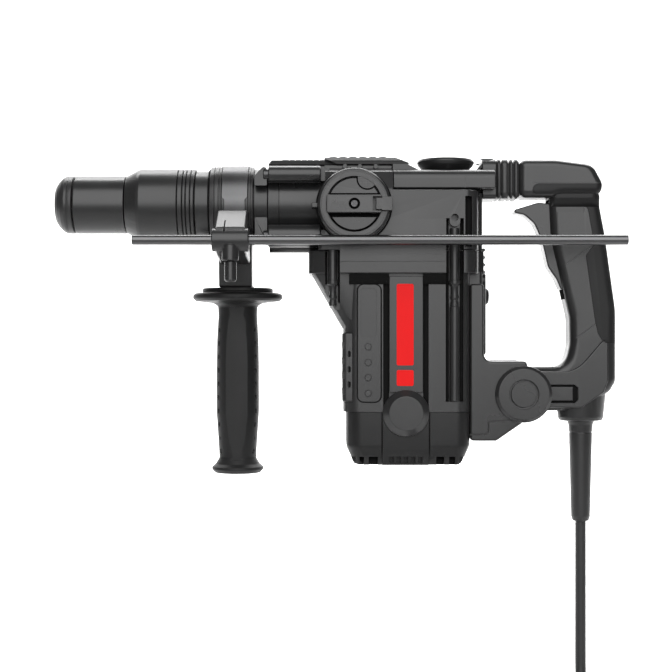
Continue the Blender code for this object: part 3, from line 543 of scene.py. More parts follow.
def make_top():
    front = span("top_cover")[0][0]
    cover = prism("top_cover_shell", "X", symmetric([(21, CASE_TOP + 0.2), (18, 94.4, 2)]), front, -206)
    cut(cover, prism("cover_slope", "Y", [(-266, 89), (-263.6, 89), (-259.8, 94.2), (-259.8, 99),
        (-266, 99)], -30, 30))
    piece(cover, SHELL, "housing", "top_cover", edge=0.4)
    strip = prism("cover_ribs", "X", symmetric([(14, 93.6), (13.4, 95.5, 0.5)]), -251, -212)
    for x in range(-246, -214, 5):
        cut(strip, block("rib_gap", (x, x + 1.2), (-20, 20), (94.6, 99)))
    piece(strip, RUBBER, "housing", edge=0.2)

    front, low = span("top_pad")[0][0], CASE_TOP + 0.2
    left = [(-23.6, low), (-23.6, 92.9, 3), (-18.5, 96.6, 3)]
    section = left + [(-u, v, *r) for u, v, *r in reversed(left)]
    pad = prism("top_pad_rubber", "X", section, front, -146.6)
    cut(pad, prism("pad_front", "Y", moved([(-2, 96), (0, 95.2), (10, low + 0.2), (10, low - 3),
        (-2, low - 3)], front), -40, 40), prism("pad_back", "Y",
        [(-159, 98), (-159, 97), (-145, low + 0.4), (-145, 98)], -40, 40))
    for row, y in enumerate((-14, -7, 0, 7, 14)):
        for k in range(7):
            x = front + 7 + 8.2 * k + 4.1 * (row % 2)
            if x < -163:
                spots = hexagon(x, y, 3.1)
                join(pad, prism("pad_hexagon", "Z", spots, 95.5, 97.3))
    piece(pad, RUBBER, "housing", "top_pad", edge=0.35)
    for sign in (-1, 1):
        studs = [prism("shoulder_stud", "Y", hexagon(x, 88.2, 2.2), *across(sign, 20, 25.6))
            for x in (-199.2, -186.9, -173.8)]
        piece(join(studs[0], *studs[1:]), CASTING, "housing", edge=0.3)


def make_rear_arm():
    low = SEAM_Z + 2.6
    arm = prism("rear_arm_shell", "X", symmetric([(34, low, 0.8), (34, 85.4, 8)]), -159.9, -76.2, 0.8)
    saddle = [(-159.9, 78), (-138, 78), (-138, 85.2), (-148, 90.2, 6), (-159.9, 90.2)]
    collar = symmetric([(19.5, 62.2, 4), (19.5, 95.5, 8)])
    shoulder = [(-91.5, 80), (-80, 80), (-80, 95.4), (-83, 95.4, 3), (-91.5, 85.2, 6)]
    join(arm, prism("arm_saddle", "Y", saddle, -26, 26),
        prism("arm_collar", "X", collar, CASE_BACK + 0.3, -73.9, 0.9),
        prism("arm_shoulder", "Y", shoulder, -18, 18, 2.6))
    cut(arm, rod("arm_hole", "Z", (GREASE_X, 0), 60, 95, 14))
    for sign in (-1, 1):
        cut(arm, block("arm_line", (-101.4, -100.9), across(sign, 33.6, 40), (60, 100)))
    piece(arm, SHELL, "housing", "rear_arm", edge=0.4)
    # A black sheet in the gap between the case and the arm: painted shade of the seam.
    seam_shade = prism("arm_seam_shade", "Z", mirrored([(-159.6, -33), (CASE_BACK - 2, -33, 6)]), SEAM_Z + 0.1,
        low + 0.2)
    cut(seam_shade, rod("seam_shade_hole", "Z", (GREASE_X, 0), 60, 95, 14))
    piece(seam_shade, SHADE_BLACK, "housing")
    z = span("grease_cap")[2][0]
    cap = lathe("grease_cap_shell", "Z", (GREASE_X, 0),
        [(z, 0), (z, 13.5), (85.3, 13.5), (85.3, 16.8, 0.6), (87.6, 19.4, 4), (91, 22.8, 4),
        (94, 24.2, 1.2), (96.3, 22.8, 1.2), (97.4, 14, 12), (97.8, 0)], 96)
    piece(cap, SHELL, "housing", "grease_cap")


# ---------------------------------------------------------------- motor

def screw_column(name, x, y, high, low):
    """A long case screw in its groove: a wide post, a ringed tip, then a narrower post."""
    radius = 3.9
    corners = [(high, 0), (high, radius, 0.5), (-5.6, radius), (-6.4, radius + 0.7, 0.4),
        (-9.4, radius + 0.7, 1.2), (-10.6, 2.9), (-18, 2.9), (-18.6, 3.4, 0.2), (-20.8, 3.4, 0.2),
        (-21.2, 2.6), (-23, 2.6), (-23.4, 3.2, 0.2), (-27, 3.2, 0.8)]
    corners += [(-27.6, radius, 0.4), (low, radius, 0.4), (low, 0)] if low < -30 else [(-27, 0)]
    return piece(lathe(name, "Z", (x, y), corners, 40), SHELL, "housing")


def make_motor():
    flange = mirrored([(-229, -38, 9), (-206, -50, 10), (-90.8, -49.4, 13), (-90.8, -27, 2),
        (-84.6, -22, 3)])
    high = CASE_LOW - 0.3
    case = prism("motor_shell", "Z", flange, -0.4, high, 0.6)
    body = mirrored([(MOTOR_FRONT, -MOTOR_HALF, 14), (MOTOR_BACK, -MOTOR_HALF, 12)])
    wedge = []
    for z, x in ((9, -226.4), (-1, -226.4), (-44.8, -201.2)):
        half = [(-186, 43.4), (x + 11, 42), (x + 3.4, 38.4), (x, 32)]
        wedge.append((z, [Vector((u, -v)) for u, v in half] + [Vector((u, v)) for u, v in reversed(half)]))
    join(case, prism("motor_body", "Z", body, MOTOR_LOW, 2.4), loft("motor_wedge", "Z", wedge),
        block("motor_spine", (-104, SPINE_BACK), (-26, 26), (-71, 3), 3),
        prism("spine_pad", "Z", mirrored([(-100, -17, 4), (-82, -17, 5)]), -67, 1, 2))
    for sign in (-1, 1):
        lip = block("band_lip", (-204, -118.2), across(sign, 47.3, 50), (high - 3, 24))
        join(case, lip)
        cut(case, block("flange_line", (-206, -117), across(sign, 48.6, 60), (8.6, 9.2)))
        for low, far in ((-168.4, -163.6), (-136.1, -131.6)):
            cut(case, block("channel", (low, far), across(sign, 40.6, 60), (MOTOR_LOW - 5, -0.6)))
        cut(case, prism("panel_room", "Y", rect(-189.9, -169.4, -105.4, -8.7, 6), *across(sign, 42, 60)),
            block("screw_groove", (-117.8, -103.4), across(sign, 38.5, 60), (-104.5, 30)),
            block("post_groove", (-215.4, -203.4), across(sign, 36.5, 60), (-30, 30)))
    cut(case, rod("motor_bore", "Z", (MOTOR_X, 0), MOTOR_LOW - 5, -24, 38),
        rod("bearing_seat", "Z", (MOTOR_X, 0), -25, 10, 15.4),
        prism("gear_pocket", "Z", rect(-213.6, -88.8, -30, 30, 20), -4.6, 40),
        rod("button_bore", "X", (0, BUTTON_Z), -97, -70, 7.2))
    for k in range(5):
        join(case, rod("back_rib", "Y", (-84.6, -4.5 + 6.1 * k), -19, 19, 1.5, 0.6, 24))
    piece(case, SHELL, "housing", "motor_housing", edge=0.4)

    for sign in (-1, 1):
        make_motor_side(sign)
    make_grille()
    button = lathe("lock_button_shell", "X", (0, BUTTON_Z),
        [(-93, 0), (-93, 6.7, 0.4), (-80.4, 6.7, 1.6), (-78.6, 5.2, 1.2), (-78.6, 2.6, 0.4), (-79.2, 0)])
    piece(button, RUBBER, "lock_button", "lock_on_button", slot="trim")


def make_motor_side(sign):
    """One side of the motor housing: panel, centre bar with its red inlay, screws, and black strips that
    paint the shade in its gaps and grooves.
    """
    panel = prism("side_panel", "Y", rect(-189.1, -170.2, -104.6, -9.5, 5), *across(sign, 42.2, 44.9),
        0.5)
    cut(panel, prism("plaque", "Y", rect(-187, -173.6, -52, -12.4, 3), *across(sign, 44.3, 50)))
    for z in (-60.1, -72.8, -85.1, -97.8):
        cut(panel, rod("dimple", "Y", (-180.6, z), *across(sign, 43.4, 50), 3.3))
        join(panel, rod("dimple_button", "Y", (-180.6, z), *across(sign, 43, 44.5), 2.5, 0.4))
    piece(panel, SHELL, "housing", edge=0.25)
    screw_column("screw_rear", -110.5, sign * 42.6, 36.2, -104)
    screw_column("screw_front", -209.3, sign * 42.2, 21.0, -28)
    bar = prism("centre_bar", "Y", [(-163.6, -97), (-136.1, -97), (-136.1, -2.8, 1), (-163.6, -2.8, 1)],
        *across(sign, 42.4, 46), 0.6)
    piece(bar, SHELL, "housing")
    stripe = prism("accent_bar", "Y", rect(-157.6, -143.8, -75, -9, 1.5), *across(sign, 45.6, 46.3), 0.2)
    spot = prism("accent_spot", "Y", rect(-157.6, -143.8, -91.6, -78.7, 1.5), *across(sign, 45.6, 46.3),
        0.2)
    piece(join(stripe, spot), RED, "housing")

    # A black sheet under the band's overhang: painted shade of the recess below it.
    gap_shade = prism("painted_gap_shade", "X", [(sign * 42, -9.4), (sign * 42, -0.8), (sign * 48.6, -0.8),
        (sign * 44.3, -9.4)], -196, -104)
    cut(gap_shade, block("bar_room", (-163.7, -136), across(sign, 40, 60), (-20, 10)),
        block("screw_room", (-117.8, -103.4), across(sign, 40, 60), (-20, 10)))
    piece(gap_shade, SHADE_BLACK, "housing")
    # Black strips at the bottoms of channels, grooves and the panel's edge: painted shade.
    for name, x, z, y in (("channel_shadow", (-168.3, -163.7), (MOTOR_LOW, -0.8), (40.7, 42)),
            ("channel_shadow", (-136, -131.7), (MOTOR_LOW, -0.8), (40.7, 42)),
            ("groove_shadow", (-117.7, -115), (-104.4, 17.8), (38.6, 40)),
            ("groove_shadow", (-106, -103.5), (-104.4, 17.8), (38.6, 40)),
            ("post_shadow", (-215.3, -213.8), (-9, 17.8), (36.6, 40)),
            ("post_shadow", (-204.9, -203.5), (-24, 17.8), (36.6, 40)),
            ("panel_shadow", (-189.8, -169.5), (-105.3, -8.8), (42.05, 42.6))):
        piece(block(name, x, across(sign, *y), z), SHADE_BLACK, "housing")


def make_grille():
    """The vent block that wraps round the lower front of the motor."""
    grille = prism("front_grille", "Z", mirrored([(-201.6, -43.6, 4), (-192.8, -43.6, 1)]), -104.2, -49,
        0.8)
    for z in (-58.7, -71.4, -83.1, -95.9):
        for y in range(-30, 31, 12):
            cut(grille, block("grille_slot", (-206, -199.4), (y - 4.4, y + 4.4), (z - 2.4, z + 2.4)))
        for sign in (-1, 1):
            cut(grille, block("corner_slot", (-206, -199.8), across(sign, 38.5, 50), (z - 2.6, z + 2.6)))
    for z in (-65.8, -78.2, -90.6):
        for sign in (-1, 1):
            cut(grille, prism("side_vent", "Y", rect(-197.6, -194.6, z - 2.5, z + 2.5, 1.3),
                *across(sign, 40, 50)))
    piece(grille, SHELL, "housing", edge=0.3)


def make_end_cap():
    body = rounded(mirrored([(-198.4, -43, 14), (MOTOR_BACK, -43, 12)]))
    levels = [(MOTOR_LOW - 0.35, 0), (-139.5, 0), (-142.6, 0.8), (-148.2, 3.4), (-153.6, 5.4),
        (-155.8, 7), (CAP_LOW, 9.6)]
    cap = loft("end_cap_shell", "Z", [(z, shrunk(body, by)) for z, by in levels])
    for sign in (-1, 1):
        strap = [(sign * 34, MOTOR_LOW - 0.35), (sign * 44.2, MOTOR_LOW - 0.35), (sign * 44.2, -142.8),
            (sign * 41.2, -148.6), (sign * 39.6, CAP_LOW + 0.4), (sign * 34, CAP_LOW + 0.4)]
        join(cap, prism("cap_strap", "X", strap, -168.8, -131.4))
        for low, high in ((-169.9, -168.7), (-131.5, -130.3)):
            cut(cap, block("strap_edge", (low, high), across(sign, 38.5, 60), (-160, -100)))
        for low, high in ((-193.5, -190.5), (-187.5, -183.8), (-180, -172.4), (-125, -118.5),
                (-114.5, -109.6), (-106, -102)):
            cut(cap, block("cap_slot", (low, high), across(sign, 30, 60), (-160, -149.4)))
        for k in range(5):
            x = -161.5 + 5.8 * k
            cut(cap, block("strap_slot", (x - 1.9, x + 1.9), across(sign, 34, 60), (-154.6, -149.2)))
    for y in range(-30, 31, 12):
        cut(cap, block("cap_end_slot", (-206, -188), (y - 4, y + 4), (-160, -149.6)),
            block("cap_end_slot", (-108, -90), (y - 4, y + 4), (-160, -149.6)))
    cut(cap, rod("cap_room", "Z", (MOTOR_X, 0), -130, -100, 37),
        rod("cap_seat", "Z", (MOTOR_X, 0), -143.5, -120, 13.3))
    piece(cap, BASE, "housing", "end_cap", edge=0.3)
    inner = loft("cap_inner_shadow", "Z", [(z, shrunk(body, by + 6)) for z, by in levels[3:-1]])
    piece(inner, SHADE_BLACK, "housing")

    for side, sign in SIDES:
        face = [(sign * 44.3, 0), (sign * 44.3, 18.9, 0.3), (sign * 46.6, 18.7, 0.8),
            (sign * 51.4, 13.7, 0.6), (sign * 51.4, 0)]
        piece(lathe(f"brush_cap_shell_{side}", "Y", (MOTOR_X, MOTOR_Z), face, 96), TRIM, "housing",
            f"brush_cap_{side}")


def make_bracket():
    front, pivot = MOTOR_BACK + 0.4, (PIVOT_X, PIVOT_Z)
    plate = [(front, -137, 3), (-75.5, -137, 3), (-54.5, -122.4), (-44, -98.8), (-51, -71.8, 3),
        (-85.6, -71.8, 6), (-85.6, -8.6, 3), (front, -8.6, 2)]
    bracket = prism("pivot_bracket_shell", "Y", plate, -34, 34, 2.0)
    join(bracket, rod("bracket_eye", "Y", pivot, -34, 34, 23.3, 0.6, 96))
    cut(bracket, block("bracket_slot", (-78, -10), (-14.6, 14.6), (-160, -66)),
        block("spine_room", (front - 3, -70), (-26.4, 26.4), (-70.5, 10)),
        rod("bracket_bore", "Y", pivot, -60, 60, 6.3))
    path = [(-103, -131.9), (-84.4, -131.3), (-82.4, -129.4), (-82.4, -121.4), (-64, -119.8), (-50, -121.4)]
    for sign in (-1, 1):
        cut(bracket, prism("flange_groove", "Y", stroke(path, 1.5), *across(sign, 31.4, 60)))
    piece(bracket, SHELL, "housing", "pivot_bracket", edge=0.4)
    for side, sign in SIDES:
        face = [(sign * 34.3, 0), (sign * 34.3, 22.4), (sign * 34.8, 22.4), (sign * 34.8, 23.3, 0.3),
            (sign * 36.2, 23.1, 0.6), (sign * 38.4, 20.7, 0.6), (sign * 38.4, 12.2, 0.2),
            (sign * 35.2, 12.0), (sign * 35.2, 10.7), (sign * 38.4, 10.5, 0.3), (sign * 38.4, 0)]
        piece(lathe(f"pivot_disc_{side}", "Y", pivot, face, 96), TRIM, "housing", f"pivot_cap_{side}")


# ---------------------------------------------------------------- controls

def make_dial():
    dial = (DIAL_X, DIAL_Z)
    face, floor = -61.0, -54.6
    knob = lathe("mode_dial_knob", "Y", dial,
        [(-47.4, 0), (-47.4, 29.2, 0.4), (face + 1.8, 29.2, 0.5), (face + 0.5, 28.2, 0.5),
        (face, 27.2, 0.3), (face, 26.5), (face + 0.6, 26.4), (face + 0.6, 25.9), (face, 25.8),
        (face, 22.1, 0.4), (floor, 21.9), (floor, 0)], 96)
    pads = lathe("dial_pads", "Y", dial, [(floor + 1, 0), (floor + 1, 20.8), (face + 0.6, 20.8, 0.5),
        (face + 0.6, 0)], 96)
    patch_at = (DIAL_X + 10.4, DIAL_Z + 19.9)
    cut(pads, block("pad_gap", (DIAL_X - 40, DIAL_X + 40), (-80, -40), (DIAL_Z - 10.6, DIAL_Z + 8.7)),
        rod("patch_gap", "Y", patch_at, -80, -40, 8.7))
    patch = keep(rod("dial_patch", "Y", patch_at, face + 0.1, floor + 1, 7.8, 0.4),
        rod("patch_limit", "Y", dial, -80, -40, 23))
    for k in range(-3, 4):
        for m in range(-3, 4):
            if math.hypot(k, m) < 3.2:
                spot = (patch_at[0] + 2.1 * k, patch_at[1] + 2.1 * m)
                if math.hypot(spot[0] - DIAL_X, spot[1] - DIAL_Z) < 26:
                    cut(patch, block("patch_pit", (spot[0] - 0.6, spot[0] + 0.6), (-80, face + 0.5),
                        (spot[1] - 0.6, spot[1] + 0.6)))
    bar = prism("dial_bar", "Y", rect(DIAL_X - 22.2, DIAL_X + 22, DIAL_Z - 7.4, DIAL_Z + 7.3, 2), -65.6,
        floor + 1, 0.7)
    join(knob, pads, patch, bar, rod("dial_spindle", "Y", dial, -48, -33, 5.6))
    cut(knob, block("dial_slot", (DIAL_X + 14.6, DIAL_X + 32), (-70, face + 6.2),
        (DIAL_Z - 5.8, DIAL_Z + 5.8)), rod("screw_well", "Y", dial, -70, -60.4, 4.6))
    arrow = moved([(-18.5, 0), (-15, 3.2), (-15, 1.2), (-8, 1.2), (-8, -1.2), (-15, -1.2), (-15, -3.2)],
        DIAL_X, DIAL_Z)
    cut(knob, prism("dial_arrow", "Y", arrow, -70, -65.1))
    piece(knob, TRIM, "mode_dial", "mode_dial", edge=0.3)
    floor_disc = lathe("dial_floor_shadow", "Y", dial, ring(floor - 0.3, floor + 0.2, 0, 21.8), 64)
    cut(floor_disc, block("tab_room", (DIAL_X + 14, DIAL_X + 32), (-80, -40), (DIAL_Z - 6, DIAL_Z + 6)))
    piece(floor_disc, SHADE_BLACK, "mode_dial", slot="trim")
    well = lathe("screw_well_shadow", "Y", dial, ring(-60.9, -60.3, 0, 4.5), 32)
    piece(well, SHADE_BLACK, "mode_dial", slot="trim")
    screw = rod("dial_screw", "Y", dial, -64.2, -60.6, 2.9, 0.5)
    for angle in (45, 135):
        cross = block("screw_cross", (-2.2, 2.2), (-70, -63.4), (-0.45, 0.45))
        cross.data.transform(Matrix.Rotation(math.radians(angle), 4, "Y"))
        cross.data.transform(Matrix.Translation(Vector((DIAL_X, 0, DIAL_Z)) * MM))
        cut(screw, cross)
    piece(screw, DARK_STEEL, "mode_dial", edge=0.1)
    x = DIAL_X
    tab = prism("dial_lock_tab", "Y", moved([(17.4, -4.6), (22, -4.6), (22, -5.4, 0.6), (30.2, -5.4, 1.2),
        (30.2, 5.4, 1.2), (22, 5.4, 0.6), (22, 4.6), (17.4, 4.6)], x, DIAL_Z), -65, face + 3)
    piece(tab, TRIM, "dial_button", "dial_lock_button", edge=0.4)


def make_side_handle():
    bore = (0, BORE_Z)
    band_front, band_back = span("clamp_band")[0]
    rim = 32.0
    profile = [(COLLAR_FRONT, 28.3), (COLLAR_FRONT, rim - 0.6, 0.6), (COLLAR_FRONT + 3.4, rim, 0.3),
        (COLLAR_FRONT + 3.7, rim - 1), (COLLAR_FRONT + 4.3, rim - 1), (COLLAR_FRONT + 4.6, rim, 0.3),
        (COLLAR_FRONT + 7.2, rim, 0.3), (COLLAR_FRONT + 7.5, rim - 1), (COLLAR_FRONT + 8.1, rim - 1),
        (COLLAR_FRONT + 8.4, rim, 0.3), (band_front - 0.4, rim, 0.4), (band_front - 0.4, 30.2),
        (band_back + 0.4, 30.2), (band_back + 0.4, rim, 0.4), (band_back + 2, rim, 0.3),
        (band_back + 2.2, rim - 0.8), (band_back + 2.7, rim - 0.8), (band_back + 2.9, rim, 0.3),
        (COLLAR_BACK, rim, 0.8), (COLLAR_BACK, 28.3)]
    bracket = lathe("handle_clamp_shell", "X", bore, profile, 96)
    post = [(-15, -10.9, 2), (15, -10.9, 2), (19, 20, 4), (19, 37), (-18.5, 37), (-18.5, 20, 4)]
    arm = [(-12, 42), (-24, 47), (-31, 50.5, 3), (-47, 50.5, 8), (-77, 34, 6), (-79, 24, 4), (-77, 16, 4),
        (-60, 13, 6), (-16, 8), (-12, 12)]
    join(bracket, prism("clamp_post", "X", post, -303.8, -276.2, 1.5),
        prism("clamp_arm", "X", arm, -302.4, -277.6, 2),
        rod("clamp_barrel", "X", (ROD_Y, ROD_Z), -304.6, -275.4, 9.2, 1.0),
        lathe("button_arch", "Z", (-290, -75.2),
        [(8.2, 0), (8.2, 6.6, 0.6), (20, 6.6), (25.4, 3.4, 3), (26.4, 0)], 48))
    cut(bracket, rod("neck_room", "X", bore, COLLAR_FRONT - 20, COLLAR_BACK + 20, 28.3, 0, 96),
        rod("rod_hole", "X", (ROD_Y, ROD_Z), -330, -250, 4.3),
        rod("button_hole", "Z", (-290, ROD_Y), 0, 20, 3.4),
        rod("button_well", "Z", (-290, ROD_Y), 0, 12.2, 5.4),
        rod("bolt_hole", "Z", (GRIP_X, 0), -20, 15, 4.5),
        rod("bolt_pocket", "Z", (GRIP_X, 0), 8, 24, 8.5),
        block("arm_notch", (-295.2, -294.2), (-90, -60), (31, 41)),
        block("saddle_line", (-310, -270), (-90, -76.4), (33.0, 33.9)))
    piece(bracket, SHELL, "side_handle", "handle_bracket", edge=0.4)

    band = lathe("clamp_band_steel", "X", bore, ring(band_front, band_back, 30.5, 32.6, 0.5), 96)
    cut(band, block("band_gap", (-320, -260), (-36, 0), (0, 51)),
        block("band_gap_low", (-320, -260), (-20.9, 20.9), (0, 45)))
    for x, turn in ((band_front, 1), (band_back, -1)):
        step = [(x - turn * 3, 0), (x + turn * 2.2, 0), (x + turn * 2.2, 60.4), (x, 62.8),
            (x - turn * 3, 62.8)]
        cut(band, prism("band_shoulder", "Y", step, -40, -8))
    piece(band, BAND, "side_handle", "clamp_band", edge=0.2)
    shoulders = lathe("band_shoulder_ring", "X", bore,
        ring(band_front + 0.1, band_back - 0.1, 30.4, 31.8), 96)
    keep(shoulders, block("shoulder_limit", (-320, -260), (-40, -22), (44, 62.4)))
    cut(shoulders, block("shoulder_gap", (band_front + 2, band_back - 2), (-50, 0), (0, 90)))
    piece(shoulders, TRIM, "side_handle", slot="housing", edge=0.3)

    low = span("side_grip")[2][0]
    grip = lathe("side_grip_rubber", "Z", (GRIP_X, 0),
        [(low + 10, 0), (low + 10, 4.5), (-11.3, 4.5), (-11.3, 29, 0.5), (-13.4, 29.6, 0.8),
        (-14.8, 29, 0.4), (-15.4, 35.4, 0.8), (-17, 37.4, 1.6), (-20, 37.4, 1.6), (-22, 35, 1.5),
        (-23.6, 21, 3), (-26, 16.6, 3), (-34, 16.2, 8), (-54.6, 17.4, 20), (-80, 17.8, 40),
        (-115, 17.8, 40), (-145, 15.8, 12), (-153, 15.4, 4), (-158, 18.4, 3), (-160.6, 21.5, 1),
        (low + 3, 21.6, 1.2), (low, 18.8, 1), (low, 0)], 96)
    pits = []
    for sign in (-1, 1):
        cut(grip, prism("grip_flat", "Y", moved([(-9, -155, 5), (9, -155, 5), (9, -27, 4), (-9, -27, 4)],
            GRIP_X), *across(sign, 15.2, 40)))
        for side in (-1, 1):
            for k in range(10):
                z = -46.2 - 11.25 * k
                angle = math.radians(29)
                reach = 17.6 if k < 9 else 16
                spot = Vector((GRIP_X + side * reach * math.cos(angle), sign * reach * math.sin(angle),
                    z)) * MM
                pit = lathe("grip_pit", "Z", (0, 0), [(-2.4, 0), (-1.9, 1.3), (0, 1.9), (1.9, 1.3),
                    (2.4, 0)], 14)
                pit.data.transform(Matrix.Translation(spot))
                pits.append(pit)
    cut(grip, *pits)
    piece(grip, RUBBER, "side_grip", "side_grip", edge=0.3)

    start, end = span("depth_rod")[0]
    stop = rod("depth_rod_steel", "X", (ROD_Y, ROD_Z), start, end, 4, 0.6)
    piece(stop, STEEL, "depth_rod", "depth_rod")
    button = lathe("rod_release_button", "Z", (-290, ROD_Y),
        [(-8.6, 0), (-8.6, 3.6, 1.2), (-7, 4.8, 0.8), (7.6, 4.8, 0.4), (7.6, 3), (15, 3), (15, 0)])
    piece(button, TRIM, "depth_button", "depth_lock_button")


# ---------------------------------------------------------------- rear handle

GRIP = [(-30, 72), (-28, 30, 60), (-19, -8, 40), (-12.6, -36, 30), (-12.2, -58, 24), (-16.5, -77, 14),
    (-46, -77), (-46, -113.4), (-2, -113.4, 9), (21.6, -96.8, 9), (26, -89, 9), (26, -29.5, 60),
    (17.2, 33.5, 40), (12.7, 57, 22), (13.6, 72, 6)]
TOP_BAR = [(HANDLE_FRONT, 95, 6.2), (-24, 95, 40), (6.5, 91, 12), (14.9, 75, 9), (12.9, 65.8, 6.2),
    (-20, 65.8, 12), (-28, 63.6, 6.2), (HANDLE_FRONT, 63.6, 6.2)]
LOW_PLATE = [(-44, -80.5), (-8, -80.5, 24), (13, -56, 6), (18.6, -52, 3), (18.8, -88, 4), (15, -98, 4),
    (-3, -110.6, 4), (-44, -110.6)]
OVERMOULD = [(50, 75), (-43.7, 75, 5), (-43.7, 66.3, 3), (-26, 66.3), (-26, 56.6), (1.8, 56.6, 5),
    (5.8, 34.2, 10), (6.5, 23.6, 3), (0.5, 15.6, 3), (8.4, -39.8, 8), (10.5, -49, 6), (15.5, -57.2, 5),
    (50, -57.2)]


def handle_form(name):
    """The whole D-handle as one closed form: grip, top bar, lower bar, pivot tongue and cord socket."""
    form = prism(name, "Y", GRIP, -17, 17, 8, 7)
    cut(join(form, prism("low_plate", "Y", LOW_PLATE, -19, 19, 1.2)),
        rod("eye_room", "Y", (PIVOT_X, PIVOT_Z), -60, 60, 24.2, 0, 96))
    tongue = prism("tongue", "Y", rect(-53.5, -20, -113, -77), -13.9, 13.9)
    socket = lathe("cord_socket", "Z", (0, 0),
        [(-122, 0), (-122, 16, 2), (-118.8, 17, 1), (-98, 18.8, 3), (-84, 14), (-84, 0)], 72)
    socket.data.transform(Matrix.Diagonal((1.12, 1, 1, 1)))
    socket.data.transform(Matrix.Translation((CORD_X * MM, 0, 0)))
    join(form, prism("top_bar", "Y", TOP_BAR, -19, 19, 6, 6), tongue, socket,
        rod("tongue_eye", "Y", (PIVOT_X, PIVOT_Z), -13.9, 13.9, 22.2, 0.6, 72))
    for sign in (-1, 1):
        cut(form, prism("neck_hollow", "X", [(sign * 13, 55.8), (sign * 18.4, 65.9), (sign * 25, 65.9),
            (sign * 25, 55.8)], -60, 60))
    return form


def make_rear_handle():
    rubber = prism("grip_overmould", "Y", OVERMOULD, -30, 30)
    room = prism("overmould_room", "Y", [(u - (0.3 if u < 40 else 0), v, *r) for u, v, *r in OVERMOULD],
        -30, 30)
    form = handle_form("handle_form")
    keep(rubber, handle_form("rubber_form"))
    cut(form, room)
    trigger_room = [(-50, 62.6), (-15, 62.6), (-11, 30), (-6.5, -8, 2), (-7.5, -20, 2), (-40, -22)]
    for obj in (form, rubber):
        cut(obj, prism("trigger_room", "Y", trigger_room, -10.8, 10.8),
            block("switch_room", (-22, 3), (-10.6, 10.6), (2, 54)),
            rod("boot_room", "Z", (CORD_X, 0), -150, -100, 8.4),
            rod("pivot_bore", "Y", (PIVOT_X, PIVOT_Z), -60, 60, 6.4))
    creases = (([(-16.5, 8.6), (0.5, 20.4), (7, 24.4)], 1.3, 0.9),
        ([(-24, -53.8), (-8, -52.8), (9, -40.6)], 0.8, 1.0))
    for sign in (-1, 1):
        for path, width, depth in creases:
            cut(form, prism("grip_crease", "Y", stroke(path, width), *across(sign, 17 - depth, 40)))
        cut(form, prism("panel_ledge", "Y", [(-24, 51.4, 1), (-1, 51.4, 1), (-1, 57), (-24, 57)],
            *across(sign, 16, 40)), prism("arm_window", "Y",
            [(-36, -91.2), (-9.4, -91.2), (-6.2, -94.2), (-6.2, -104), (-9.4, -107), (-36, -107)],
            *across(sign, 16.2, 60)), block("top_seam", (-43.7, 20), across(sign, 18.6, 40),
            (75.2, 75.7)))
        plate = block("window_plate", (-40, -10.4), across(sign, 14, 18.6), (-104.8, -93.2), 0.6)
        cut(plate, rod("eye_room", "Y", (PIVOT_X, PIVOT_Z), -60, 60, 24.2, 0, 96))
        join(form, plate)
    right = keep(copy_of(form, "handle_right"), block("half", (-90, 60), (0.12, 60), (-160, 130)))
    left = keep(form, block("half", (-90, 60), (-60, -0.12), (-160, 130)))
    left.name = "handle_left"
    for side, shell in (("left", left), ("right", right)):
        piece(shell, SHELL, "rear_handle", f"handle_shell_{side}", edge=0.35)
    piece(rubber, RUBBER, "rear_handle", "grip_rubber", edge=0.35)
    for side, sign in SIDES:
        shade = block(f"window_shadow_{side}", (-28.4, -6.6), across(sign, 16.3, 16.9), (-106.6, -91.6))
        piece(shade, SHADE_BLACK, "rear_handle")

    trigger = prism("trigger_shell", "Y", [(-58.4, 51.4, 1.6), (-57.6, 54.2, 1.6), (-38, 60.2, 12),
        (-25.5, 58.6, 2), (-19.8, 30, 20), (-15.4, -7, 1.6), (-18.2, -15.5, 1.6), (-23, -4, 10),
        (-30, 6, 12), (-35, 28, 20), (-41.5, 42.5, 10), (-49.6, 49.6, 8)], -10.2, 10.2, 1.3)
    piece(trigger, TRIM, "trigger", "trigger")

    low = BOOT_LOW
    corners = [(-103, 0), (-103, 8, 0.5), (-118, 8), (-118, 11.2), (-122.5, 11.2, 0.6), (-125.4, 10.2, 3),
        (-131.2, 9.7, 0.3), (-131.5, 9.3), (-132.1, 9.3), (-132.4, 9.7, 0.3), (-170, 8.8, 30),
        (low + 4, 7.9, 2), (low, 6.8, 1.0), (low, 0)]
    boot = lathe("cord_boot_rubber", "Z", (CORD_X, 0), corners, 64)
    piece(boot, SEAL, "rear_handle", "cord_boot")


def copy_of(obj, name):
    twin = bpy.data.objects.new(name, obj.data.copy())
    bpy.context.scene.collection.objects.link(twin)
    return twin


def make_bellows():
    """A folded rubber sleeve between the collar and the handle: rounded rings over one another."""
    outline = rounded(symmetric([(18.8, 62.6, 5.5), (18.8, 95.6, 6.5)]))
    folds = [(-72.9, -70.4), (-69.2, -64.3), (-62.6, -60.5), (-58.8, -56.1)]
    stations = [(-74.05, 1.4), (-73.2, 1.4)]
    for front, back in folds:
        stations += [(front, 0.6), (front + 0.5, 0)] + moved([(-0.5, 0), (0, 0.6), (0.2, 2.6),
            (0.8, 2.6)], back)
    stations = stations[:-2] + [(-55.9, 1.4), (-55.05, 1.4)]
    sleeve = loft("bellows_rubber", "X", [(x, shrunk(outline, inset)) for x, inset in stations])
    sleeve.data.materials.append(SEAL)
    sleeve.data.shade_smooth()
    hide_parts("bellows")
    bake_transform(sleeve)


# ---------------------------------------------------------------- cord

